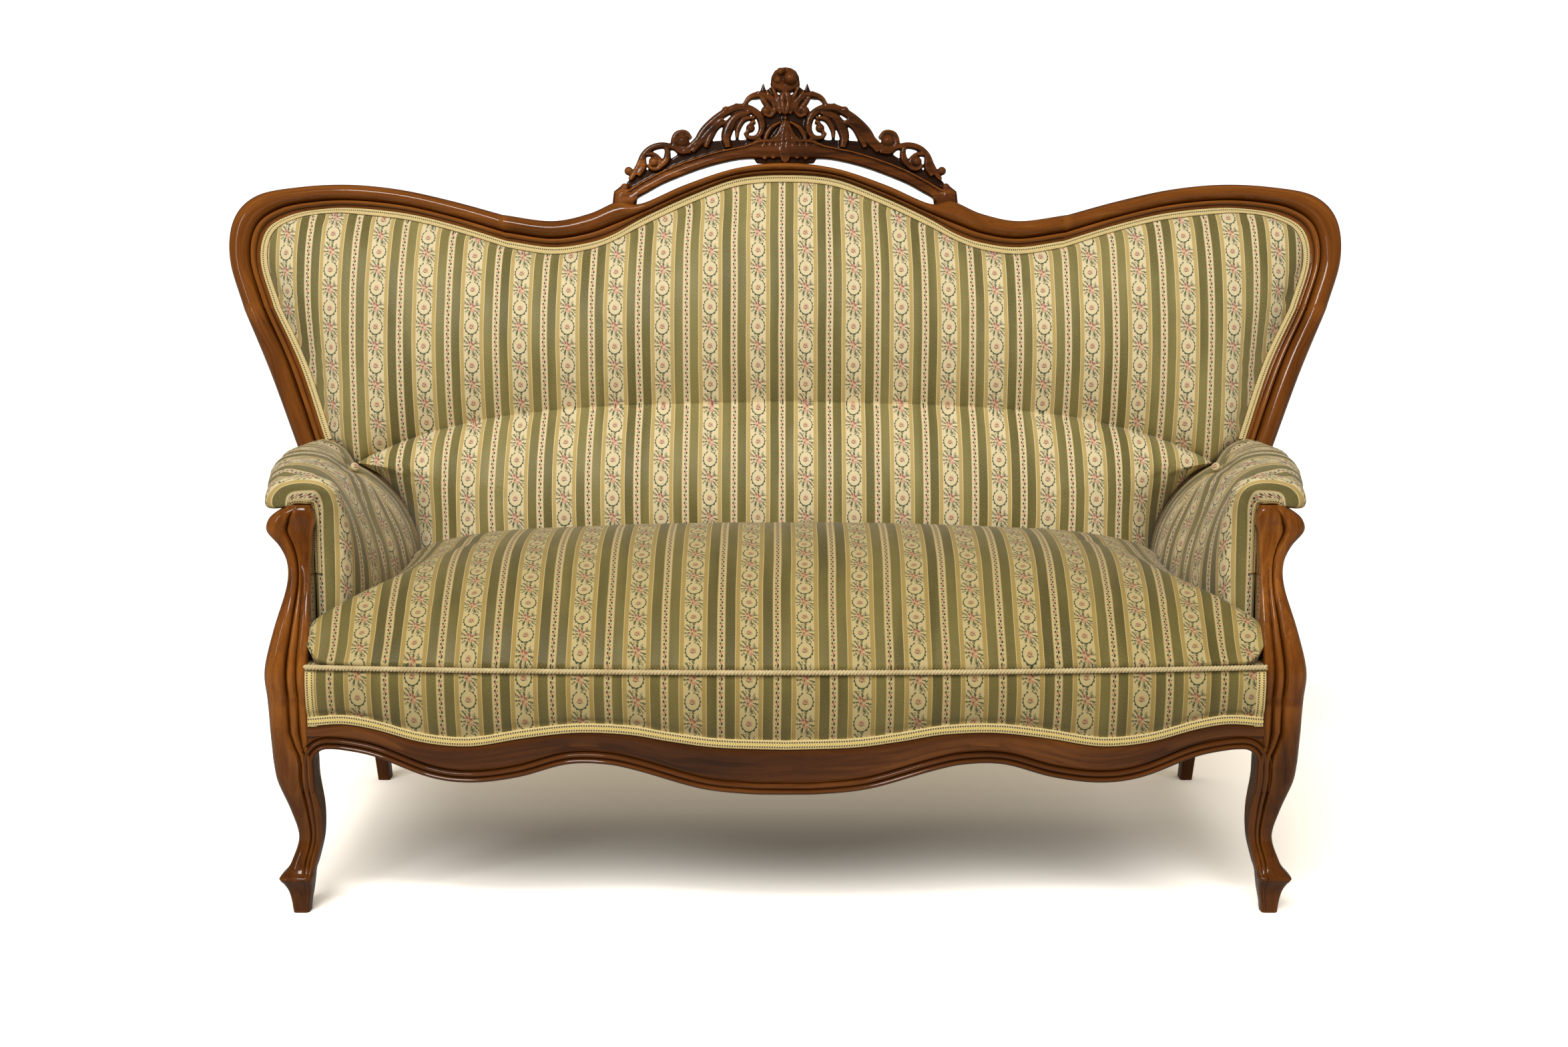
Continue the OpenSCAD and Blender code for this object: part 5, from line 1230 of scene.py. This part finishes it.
# Arms. wood and cap are the front face's outline where it meets the support and where it swells most;
# front and back are the arm's outline at its two ends, as shares of its width and height.
arm = dict(
    wood=[[0.6595, 0.333], [0.6600, 0.400], [0.6605, 0.470], [0.6610, 0.534], [0.6612, 0.566], [0.666, 0.5692],
          [0.673, 0.5698], [0.680, 0.5698], [0.685, 0.5692], [0.6865, 0.568], [0.6875, 0.567], [0.690, 0.566]],
    cap=[[0.648, 0.333], [0.6475, 0.4], [0.6475, 0.47], [0.647, 0.534], [0.6455, 0.569], [0.652, 0.587],
         [0.668, 0.5885], [0.684, 0.587], [0.692, 0.582], [0.695, 0.573], [0.6955, 0.566], [0.690, 0.566]],
    front=[[0.06, 0.12], [0.04, 0.33], [0.01, 0.55], [0, 0.75], [0.03, 0.89], [0.16, 0.96], [0.46, 0.985],
           [0.78, 0.965], [0.95, 0.92], [1, 0.875], [0.94, 0.845], [0.72, 0.845]],
    back=[[0, 0.12], [0, 0.30], [0.02, 0.42], [0.07, 0.53], [0.19, 0.66], [0.38, 0.785], [0.53, 0.845],
          [0.68, 0.925], [0.84, 0.955], [0.97, 0.915], [0.985, 0.87], [0.8, 0.86]],
    swell=[[0, 0], [0.083, 0.15], [0.25, 0.5], [0.36, 0.7], [0.5, 0.92], [0.65, 1.12], [0.8, 1.17], [1, 1]],
    outFront=sofa["kneeX"] + 1.23 * sofa["kneeW"], inFront=sofa["kneeX"] - 0.6 * sofa["kneeW"],
    outBack=0.858 * sofa["halfWidth"], inBack=0.65 * sofa["halfWidth"], rows=64, steps=6,
    faceY=[0, 0, 0, 0.1, 0.6, 1, 1, 1, 1, 1, 0.9, 0.4], lowY=-0.2675, topY=-0.2845, arch=0.011, fuller=0.017,
    faceBack=0.008, faceCentre=(0.672, 0.52), rim=0.955, rimShift=0.004, archPower=0.75, fullPower=0.8,
    early=[1, 0.5, 0.5, 0.42, 0.42, 0.45, 0.5, 0.8, 1, 1, 1, 1],
    archOver=[0, 0, 0, 0, 0.1, 0.3, 0.8, 1, 1, 0.7, 0.2, 0],
    button=5.55, buttonT=0.86, buttonY=0.150, weaveColumn=9, weaveTurn=0.06, weaveSlow=0.6, weaveShift=0.047,
    valleyRows=(0.35, 0.9), valleyColumns=(32, 35), pressure=3.2)
# The gathers round the button: strength, place and width along the arm's depth or across it
gather = dict(
    pull=0.8, pullWide=1.15, pullFrom=(0.12, 0.5), pullTo=(0.93, 1), valleyWide=0.7, dip=(0.017, 0.6, 0.25),
    rise=(0.007, 0.88, 0.12), side=(0.012, 0.42), folds=9, fold=0.0014, foldWide=1.3, foldFrom=(0.2, 0.45),
    foldTo=(0.9, 1))


def planeY(z):
    return onPlane(0, z, 0)[..., 1] - sofa["gap"]


armRun = float(planeY(sofa["seatEdge"])) - armFrontY


def armInX(t):
    return mix(arm["inFront"], arm["inBack"], lookup(t, arm["swell"]))


def armInnerX(y):
    return armInX(np.clip((np.asarray(y) - armFrontY) / armRun, 0, 1)) - 2 * sofa["gap"]


def seatEdgeZ(y):
    front, behind = sofa["legY"] - seat["overhang"] / 2, sofa["legY"] + sofa["kneeD"] / 2
    side = mix(seat["lip"], seat["sideRise"], ramp(front, behind, y))
    return sofa["seatEdge"] + mix(side, seat["backRise"], ramp(behind, seatBackY, y))


def seatOutline():
    # Half of the outline: the bowed front, the corner, the arm and the back, and then its mirror image
    rows = [[x, float(bowY(x)) + seatFrontY] for x in np.linspace(0, seat["bow"], 24) * seatHalf]
    rows += [[share * seatHalf, sofa["legY"] + knees * sofa["kneeD"] + hangs * seat["overhang"]]
             for share, knees, hangs in seat["corner"]]
    ys = np.linspace(armFrontY, armFrontY + armRun, seat["sideSteps"])
    rows += [[float(armInnerX(y)) - sofa["quirk"] / 3, y] for y in ys if y < seatBackY - sofa["kneeD"] / 3]
    rows += [[float(armInnerX(seatBackY)) - sofa["kneeW"] / 3, seatBackY - sofa["quirk"]]]
    rows += [[share * seatHalf, seatBackY] for share in (0.6, 0.3, 0)]
    half = np.array(rows)
    return np.vstack([half, half[-2:0:-1] * [-1, 1]])


def crowned(outline, levels, spineHalf, spineLevel, crown, count, fall=None):
    # Rows of points that grow inward from an outline to a spine: place in the plane, and height
    rows = smooth(seat["crown"], 6)
    shares = np.linspace(0, 1, count) ** seat["spacing"]
    heights = np.interp(shares, rows[:, 0], rows[:, 1])
    spine = np.stack([np.clip(outline[:, 0], -spineHalf, spineHalf), np.full(len(outline), spineLevel)], axis=1)
    flat = np.array([mix(outline, spine, s ** seat["inward"] * seat["reach"]) for s in shares])
    lift = np.array([mix(levels, crown, h) for h in heights])
    if fall is not None:
        # The padding slopes down towards its two ends
        start, end, share = fall
        lift = levels + (lift - levels) * (1 - share * ramp(start, end, np.abs(flat[..., 0])))
    return flat, lift


def coverOver(name, grid, uv):
    # A cover from the ring round its base to its top
    return closeTop(loft(name, grid, uv=closed(uv), caps=(True, False), crease=70), *grid.shape[:2])


outline = seatOutline()
outline = resample(np.vstack([outline, outline[:1]]), seat["around"] + 1)[:-1]
flat, lift = crowned(outline, seatEdgeZ(outline[:, 1]), seat["spine"] * seatHalf,
                     mix(sofa["legY"], seatBackY, seat["spineY"]), sofa["seatCrown"], seat["across"], seat["fall"])
seatBase = np.stack([outline[:, 0] * seat["baseIn"], outline[:, 1] + seat["baseShift"] * np.sign(-outline[:, 1]),
                     np.full(len(outline), sofa["seatEdge"] + seat["baseLift"])], axis=1)
seatGrid = np.concatenate([[seatBase], np.concatenate([flat, lift[..., None]], axis=2)])
seatUv = np.stack([seatGrid[..., 0], seatGrid[..., 1] + seat["weaveDrop"] * seatGrid[..., 2]], axis=2)
seatCover = coverOver("seatCover", seatGrid, seatUv)
settle(seatCover, range(2 * seat["around"]), seat["pressure"])
place(seatCover, shadedSeatFabric, "stripe_fabric", "seat_cushion")
print("seat made")

# Border, cord and seat braid. The border's front has its place behind the seam, the share of the height
# from the seam down to the rail, and a rise.
border = dict(
    half=seatHalf + 0.0008, braid=0.013, stations=180, steps=4, aboveBraid=0.004, tuck=0.001, weaveUp=0.3,
    front=[[0.0045, 0, 0], [0.0025, 0, -0.005], [-0.0005, 0.25, 0], [0.0012, 0.5, 0], [0.006, 0.72, 0]],
    strand=0.0021, strandOff=0.9, strandSides=8, twist=0.0095, twistSteps=9, braidLift=0.0004, turnLift=0.0006,
    turnTop=0.006, turnSteps=20)


def borderRing(x):
    b, gap = border, sofa["gap"]
    y, low, top = float(bowY(x)), float(apronHigh(x)) + gap, sofa["seatEdge"] - gap / 3
    back, inner = y + apron["thickness"] + sofa["kneeW"] / 2, y + apron["rebate"] - gap
    railTop = sofa["railTop"] + gap
    front = [[y + seatFrontY + behind, mix(top, low, share) + rise] for behind, share, rise in b["front"]]
    front += [[y - b["tuck"], low + b["braid"] + b["aboveBraid"]], [y, low + b["braid"]], [y, low]]
    ring = [[back, railTop], [back, top], *smooth(front, b["steps"]), [inner, low], [inner, railTop]]
    return [[x, depth, level] for depth, level in ring]


def borderEdgeY(x, z):
    # How far forward the border stands at a height, near its end
    ring = np.array(borderRing(x))[2:-2]
    order = np.argsort(ring[:, 2])
    return float(np.interp(z, ring[order, 2], ring[order, 1]))


borderXs = np.linspace(-border["half"], border["half"], border["stations"] + 1)
borderGrid = np.array([borderRing(x) for x in borderXs])
borderUv = closed(np.stack([borderGrid[..., 0], borderGrid[..., 2] - border["weaveUp"]], axis=2))
borderCover = loft("frontBorder", borderGrid, uv=borderUv, crease=60)
place(borderCover, shadedSeatFabric, "stripe_fabric", "front_border")


def tube(name, path, radius, sides):
    ahead = heading(path)
    side = np.cross(ahead, [0.0, 0.0, 1.0])
    side /= np.linalg.norm(side, axis=1)[:, None]
    up = np.cross(side, ahead)
    turns = np.linspace(0, 2 * math.pi, sides, endpoint=False)
    return loft(name, [[p + radius * (s * math.cos(a) + u * math.sin(a)) for a in turns]
                       for p, s, u in zip(path, side, up)])


def strand(path, phase, material):
    # One strand of the twisted cord, wound round its path
    b = border
    path = resample(path, int(runs(np.asarray(path))[-1] / b["twist"] * b["twistSteps"]))
    ahead = heading(path)
    side = np.cross(ahead, [0.0, 0.0, 1.0])
    up = np.cross(side, ahead)
    turn = (runs(path) / b["twist"] * 2 * math.pi + phase)[:, None]
    line = path + b["strand"] * b["strandOff"] * (side * np.cos(turn) + up * np.sin(turn))
    obj = tube("strand", line, b["strand"], b["strandSides"])
    obj.data.materials.append(material)
    return obj


cordPath = [[x, float(bowY(x)) + seatFrontY, sofa["seatEdge"]] for x in borderXs]
strands = [strand(cordPath, phase, material) for phase, material in ((0, cordPale), (math.pi, cordOlive))]
place(joined("seatCord", strands), None, "twisted_cord", "seat_cord")

braidLow = np.array([[x, float(bowY(x)) - border["braidLift"], float(apronHigh(x)) + sofa["gap"]]
                     for x in borderXs])
seatBraid = [ribbon("braidRun", braidLow, braidLow + [0, 0, border["braid"]], (0, -1, 0))]
for sign in (1, -1):
    # At each front corner the braid turns up beside the support
    x = sign * border["half"]
    levels = np.linspace(float(apronHigh(x)), sofa["seatEdge"] - border["turnTop"], border["turnSteps"])
    edge = np.array([[x, borderEdgeY(x, level) - border["turnLift"], level] for level in levels])
    inner = edge - [sign * border["braid"], 0, 0]
    seatBraid.append(ribbon("braidTurn", *((edge, inner) if sign > 0 else (inner, edge)), (0, -1, 0)))
place(joined("seatBraid", seatBraid), seatBraidMaterial, "braid", "seat_gimp")
print("border made")

# Back and lumbar padding. crease and seam run from the arm to the middle, and up the arm.
back = dict(
    crease=[[0.765, -0.62], [0.72, -0.28], [0.655, 0.1], [0.57, 0.42], [0.485, 0.65], [0.3, 0.88], [0, 1]],
    drop=0.09 * sofa["creaseH"],
    seam=[[0, 0.2], [0, 0.30], [0.02, 0.42], [0.07, 0.53], [0.19, 0.66], [0.38, 0.785]],
    proud=0.014, under=0.008, crown=0.026, spine=0.66, spineZ=0.775, lumbarSpine=0.46, padBack=0.0184,
    braid=0.011, braidGap=0.0009, braidRaise=0.0008, edgeGap=0.0015, overCrease=-0.003, underCrease=0.001,
    fade=0.36, fadePower=0.9, weaveUp=1.02, pressure=7.0, around=300, across=26)
innerN = (sofa["frameEdge"] - 1) * sofa["frameT"]
frameHalf = np.vstack([stileCurve, cornerCurve[1:], archCurve[1:len(archCurve) // 2 + 1]])


def insetLine(edges, distance):
    outer = edges[:, :2] * [sofa["halfWidth"], sofa["shoulderHeight"]]
    inner = edges[:, 2:] * [sofa["halfWidth"], sofa["shoulderHeight"]]
    step = inner - outer
    return inner + step * distance / np.linalg.norm(step, axis=1)[:, None]


def creaseLine(gap):
    rows = smooth(back["crease"], 6)
    return np.stack([rows[:, 0] * sofa["halfWidth"],
                     sofa["creaseH"] - back["drop"] * (1 - rows[:, 1]) + gap], axis=1)


def creaseLevels(line, proud):
    # The crease starts level with the frame and stands proud further in
    return mix(innerN, proud, ramp(0, back["fade"], runs(line)) ** back["fadePower"])


def mirroredOutline(half, levels, count):
    # Closes a half outline with its mirror image and spaces its points evenly
    rows = np.column_stack([half, levels])
    rows = resample(np.vstack([rows, rows[-2:0:-1] * [-1, 1, 1], rows[:1]]), count + 1)[:-1]
    return rows[:, :2], rows[:, 2]


def buildBackCover(name, half, levels, spineHalf, spineZ, crown):
    # A cover on the leaning plane of the back, from half of its outline and the levels along it
    line, edge = mirroredOutline(half, levels, back["around"])
    flat, lift = crowned(line, edge, spineHalf, spineZ, crown, back["across"])
    base = onPlane(line[:, 0], line[:, 1], -back["padBack"])
    grid = np.concatenate([[base], onPlane(flat[..., 0], flat[..., 1], lift)])
    plan = np.concatenate([[line], flat])
    cover = coverOver(name, grid, np.stack([plan[..., 0], plan[..., 1] * back["weaveUp"]], axis=2))
    settle(cover, range(2 * back["around"]), back["pressure"])
    return cover


crease = creaseLine(back["overCrease"])
edgeLine = insetLine(frameHalf, back["braid"] + back["edgeGap"])
levels = np.concatenate([creaseLevels(crease, back["proud"] - back["under"])[::-1],
                         np.full(len(edgeLine), innerN)])
upperBack = buildBackCover("backCover", np.vstack([crease[::-1], edgeLine]), levels,
                           back["spine"] * sofa["halfWidth"], back["spineZ"] * sofa["shoulderHeight"],
                           back["crown"])
place(upperBack, backFabric, "stripe_fabric", "back_pad")

seam = smooth(back["seam"], 5)
seamLine = np.stack([mix(arm["inBack"], arm["outBack"], seam[:, 0]) - back["edgeGap"],
                     mix(sofa["railTop"], sofa["armH"], seam[:, 1]) + back["edgeGap"]], axis=1)
lowZ = seamLine[0, 1]
baseLine = np.array([[0, lowZ], [0.3 * sofa["halfWidth"], lowZ]])
crease = creaseLine(back["underCrease"])
levels = np.concatenate([np.zeros(2), np.full(len(seamLine), innerN), creaseLevels(crease, back["proud"])])
lumbar = buildBackCover("lumbarCover", np.vstack([baseLine, seamLine, crease]), levels,
                        back["lumbarSpine"] * sofa["halfWidth"], mix(lowZ, sofa["creaseH"], 0.5),
                        seat["lumbarCrown"])
place(lumbar, backFabric, "stripe_fabric", "lumbar_pad")

wholeFrame = np.vstack([frameHalf, flipEdges(frameHalf)])
outward = onPlane(0, 0, 1) - onPlane(0, 0, 0)
braidEdges = [insetLine(wholeFrame, back["braidGap"] + width) for width in (0, back["braid"])]
braidLines = [onPlane(line[:, 0], line[:, 1], innerN + back["braidRaise"]) for line in braidEdges]
place(ribbon("backBraid", *braidLines, outward), braidMaterial, "braid", "back_gimp")
print("back made")


# A section of an arm has twelve guiding points, from the seat over the roll to its underside
def armSection(t):
    # t runs from the front of the arm, 0, to the back
    turned = t ** np.array(arm["early"])
    shares = mix(np.array(arm["front"]), np.array(arm["back"]), turned[:, None])
    xIn, xOut = float(armInX(t)), mix(arm["outFront"], arm["outBack"], t)
    if t < 0.9:
        xOut += arm["fuller"] * math.sin(math.pi * min(1, t * 1.1)) ** arm["fullPower"]
    x, z = mix(xIn, xOut, shares[:, 0]), mix(sofa["railTop"], sofa["armH"], shares[:, 1])
    z = z + arm["arch"] * math.sin(math.pi * t ** arm["archPower"]) * np.array(arm["archOver"])
    return np.stack([x, z], axis=1)


def armCurve(points, ys):
    return smooth(np.column_stack([points[:, 0], ys, points[:, 1]]), arm["steps"])


def armFace(points, forward):
    return armCurve(points, mix(arm["lowY"], arm["topY"], np.array(arm["faceY"])) - forward)


def armBehind(t):
    g, section = gather, armSection(t)
    start = mix(armFrontY, armFrontY - arm["faceBack"], np.array(arm["faceY"]))
    curve = armCurve(section, mix(start, planeY(section[:, 1]), t))
    level = np.arange(len(curve)) / arm["steps"]
    # Gathered towards the button, with a hollow and small folds there
    pull = g["pull"] * bell(level, arm["button"], g["pullWide"])
    pull *= ramp(*g["pullFrom"], t) * (1 - ramp(*g["pullTo"], t))
    curve[:, 1] += pull * (arm["buttonY"] - curve[:, 1])
    valley = bell(level, arm["button"], g["valleyWide"])
    dip, rise = (strength * bell(t, at, wide) for strength, at, wide in (g["dip"], g["rise"]))
    curve[:, 0] += g["side"][0] * bell(t, arm["buttonT"], g["side"][1]) * valley
    curve[:, 2] -= (dip - rise) * valley
    fold = np.sin(t * 2 * math.pi * g["folds"]) * bell(level, arm["button"], g["foldWide"])
    curve[:, 0] += g["fold"] * fold * ramp(*g["foldFrom"], t) * (1 - ramp(*g["foldTo"], t))
    return curve


def buildArmGrid():
    timber, cap, first = np.array(arm["wood"]), np.array(arm["cap"]), armSection(0)
    centre = np.array(arm["faceCentre"])
    rim = centre + (first - centre) * arm["rim"]
    rim[:4, 0] = first[:4, 0] + arm["rimShift"]
    rows = [armFace(mix(a, b, share), forward) for a, b, share, forward in (
        (timber, cap, 0, 0), (timber, cap, 0.5, 0.0035), (timber, cap, 1, 0.0055), (cap, rim, 0.35, 0.0068),
        (cap, rim, 0.7, 0.005), (cap, rim, 1, 0.0008), (rim, first, 0.6, -0.006), (rim, first, 0.93, -0.013))]
    return np.array(rows + [armBehind(t) for t in np.linspace(0.02, 1, arm["rows"])])


def buildArm(name, grid):
    rows, cols = grid.shape[:2]
    along = runs(grid[:, arm["weaveColumn"], :2])
    along = np.where(along < arm["weaveTurn"], along, mix(arm["weaveTurn"], along, arm["weaveSlow"]))
    uv = np.stack([np.repeat((along - arm["weaveShift"])[:, None], cols, axis=1),
                   np.array([runs(row) for row in grid])], axis=2)
    obj = loft(name, grid, wrap=False, uv=uv, crease=70)
    number = np.arange(rows * cols).reshape(rows, cols)
    low, high = (int(rows * share) for share in arm["valleyRows"])
    settle(obj, np.concatenate([number[:3].ravel(), number[-1], number[:, 0], number[:, -2:].ravel(),
                                number[low:high, slice(*arm["valleyColumns"])].ravel()]), arm["pressure"])
    return obj


armGrid = buildArmGrid()
arms = placePair(buildArm("armCoverRight", armGrid), "armCoverLeft", shadedArmFabric, "stripe_fabric",
                 ["right_arm_pad", "right_inside_arm"], ["left_arm_pad", "left_inside_arm"])

# Braid beside the support and over its top, and a strip under the pad outside
armBraid = dict(
    columns=np.arange(12, 61), wide=0.0100, narrow=0.0050, turn=(22, 30), raised=(0.0016, 0.0036), outer=0.68,
    stations=40)
edge = armGrid[0, armBraid["columns"]]
width = mix(armBraid["wide"], armBraid["narrow"], ramp(*armBraid["turn"], armBraid["columns"]))
towards = armGrid[2, armBraid["columns"]] - edge
towards /= np.linalg.norm(towards, axis=1)[:, None]
near, far = armBraid["raised"]
frontStrip = ribbon("braidFront", edge - [0, near, 0], edge + towards * width[:, None] - [0, far, 0],
                    (0, -1, 0))
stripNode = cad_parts["right_arm_gimp"]
corners = np.array([(stripNode.matrix_world @ v.co)[:] for v in stripNode.data.vertices])
corners = corners[corners[:, 0] > armBraid["outer"]]
corners = corners[np.argsort(corners[:, 1])]
ys = np.linspace(corners[0, 1], corners[-1, 1], armBraid["stations"])
xs = np.interp(ys, corners[:, 1], corners[:, 0])
stripLow = np.stack([xs, ys, np.full(len(ys), corners[:, 2].max() - back["braid"])], axis=1)
sideStrip = ribbon("braidSide", stripLow, stripLow + [0, 0, back["braid"]], (1, 0, 0))
placePair(joined("armBraidRight", [frontStrip, sideStrip]), "armBraidLeft", braidMaterial, "braid",
          ["right_arm_gimp"], ["left_arm_gimp"])

# A covered button: a dome with a rolled rim, as radii and heights
coveredButton = dict(
    profile=((0.0064, -0.002), (0.0071, 0.0005), (0.0069, 0.0022), (0.0061, 0.0036), (0.0045, 0.0046),
             (0.0025, 0.0052), (0.0007, 0.0054)),
    sides=24, column=33, shift=(-0.004, -0.005, 0.005), facing=(-0.5, -0.65, 0.57))


def buildButton(name, centre):
    facing = Vector(coveredButton["facing"]).normalized()
    side = facing.cross(Vector((0, 0, 1))).normalized()
    up = side.cross(facing)
    turns = np.linspace(0, 2 * math.pi, coveredButton["sides"] + 1)
    rings, uvRows = [], []
    for radius, height in coveredButton["profile"]:
        rings.append([Vector(centre) + facing * height + (side * math.cos(a) + up * math.sin(a)) * radius
                      for a in turns[:-1]])
        uvRows.append([[radius * math.cos(a), radius * math.sin(a) + flowers["apart"]] for a in turns])
    return loft(name, rings, uv=np.array(uvRows))


row = int(round(8 + arm["buttonT"] * (arm["rows"] - 1)))
dimple = np.array(arms[0].data.vertices[row * armGrid.shape[1] + coveredButton["column"]].co[:])
button = buildButton("buttonRight", dimple + coveredButton["shift"])
place(joined("armButtons", [button, mirrorX(button, "buttonLeft")]), shadedArmFabric, "stripe_fabric", "arm_buttons")
print("arms made")

# Outside arm cloths, from their four corners
outsideArm = dict(
    lowFront=np.array([0.6999, -0.2947, 0.281]), topFront=np.array([0.6960, -0.2393, 0.565]),
    lowBack=np.array([0.7240, 0.196, 0.281]), topBack=np.array([0.7785, 0.248, 0.565]), count=24, swell=0.003)


def buildOutsideArm(name):
    o = outsideArm
    shares = np.linspace(0, 1, o["count"])
    grid = np.array([[mix(mix(o["lowFront"], o["topFront"], up), mix(o["lowBack"], o["topBack"], up), behind)
                      + [o["swell"] * math.sin(math.pi * up) * math.sin(math.pi * behind), 0, 0]
                      for up in shares] for behind in shares])
    return loft(name, grid, wrap=False, uv=grid[..., 1:])


outsideArms = placePair(buildOutsideArm("outsideArmRight"), "outsideArmLeft", shadedArmFabric, "stripe_fabric",
                        ["right_outside_arm"], ["left_outside_arm"])

# Pieces kept from the frame
keptFinishes = {
    timberMaterial: ["left_side_rail", "right_side_rail", "back_seat_rail", "web_batten", "corner_blocks",
                     "left_arm_rail", "right_arm_rail", "lower_back_rail"],
    webbingMaterial: ["seat_webbing", "back_webbing"],
    hessianMaterial: ["spring_hessian", "back_hessian"],
    liningMaterial: ["dust_cover"],
    wireMaterial: ["seat_springs"],
    steelMaterial: ["block_screws"],
    outsideFabric: ["outside_back"]}
for material, names in keptFinishes.items():
    for name in names:
        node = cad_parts[name]
        node.data.materials.clear()
        node.data.materials.append(material)

# Stage: the floor is brighter to the camera than to the light that bounces off it
stage = dict(
    seenFloor=(1.92, 1.82, 1.67), bounceFloor=(0.42, 0.40, 0.37), size=60.0, sky=(0.32, 0.29, 0.24),
    mirrored=(0.10, 0.10, 0.10), backdrop=(1.3, 1.3, 1.3), sunPower=2.05, sunAngle=38, sunTurn=(48, 0, -8))
floorMesh = bpy.data.meshes.new("floor")
s = stage["size"]
floorMesh.from_pydata([(-s, -s, 0), (s, -s, 0), (s, s, 0), (-s, s, 0)], [], [(0, 1, 2, 3)])
floor = linked("floor", floorMesh)
floorMaterial = bpy.data.materials.new("paleFloor")
floorMaterial.use_nodes = True
tree = floorMaterial.node_tree
matt = tree.nodes.new("ShaderNodeBsdfDiffuse")
seen = tree.nodes.new("ShaderNodeLightPath").outputs["Is Camera Ray"]
tree.links.new(Maths(tree).mixed(seen, stage["bounceFloor"], stage["seenFloor"]), matt.inputs["Color"])
tree.links.new(matt.outputs[0], tree.nodes["Material Output"].inputs["Surface"])
floor.data.materials.append(floorMaterial)

world = bpy.data.worlds.new("studio")
scene.world = world
world.use_nodes = True
tree = world.node_tree
path = tree.nodes.new("ShaderNodeLightPath").outputs
around = Maths(tree).mixed(path["Is Glossy Ray"], stage["sky"], stage["mirrored"])
around = Maths(tree).mixed(path["Is Camera Ray"], around, stage["backdrop"])
tree.links.new(around, tree.nodes["Background"].inputs["Color"])


def areaLight(name, spot, aim, size, power):
    data = bpy.data.lights.new(name, "AREA")
    data.shape = "RECTANGLE"
    data.size, data.size_y = size
    data.energy = power
    lamp = linked(name, data)
    lamp.location = spot
    lamp.rotation_euler = (Vector(aim) - Vector(spot)).to_track_quat("-Z", "Y").to_euler()
    return lamp


sunData = bpy.data.lights.new("softSun", "SUN")
sunData.energy = stage["sunPower"]
sunData.angle = math.radians(stage["sunAngle"])
sun = linked("softSun", sunData)
sun.rotation_euler = [math.radians(turn) for turn in stage["sunTurn"]]
sun.visible_glossy = False
areaLight("softKey", (-0.8, -1.9, 2.5), (0, 0.25, 0.85), (0.85, 0.5), 25)
areaLight("softSide", (2.3, -1.6, 1.7), (0, 0.2, 0.8), (0.8, 1.2), 8).visible_glossy = False
areaLight("windowStrip", (-2.4, -2.2, 1.9), (0, 0, 0.8), (0.15, 1.3), 9)

# The photo's camera: a metre up, tilted down a little
viewpoint = dict(lens=53.87, sensor=36, place=(-0.002, -3.523, 1.018), tilt=81.63, size=(2349, 1568))
cameraData = bpy.data.cameras.new("photoCamera")
cameraData.lens = viewpoint["lens"]
cameraData.sensor_width = viewpoint["sensor"]
camera = linked("photoCamera", cameraData)
camera.location = viewpoint["place"]
camera.rotation_euler = (math.radians(viewpoint["tilt"]), 0, 0)
scene.camera = camera
scene.render.resolution_x, scene.render.resolution_y = viewpoint["size"]
scene.view_settings.view_transform = "Standard"
scene.view_settings.look = "None"
print("stage made")
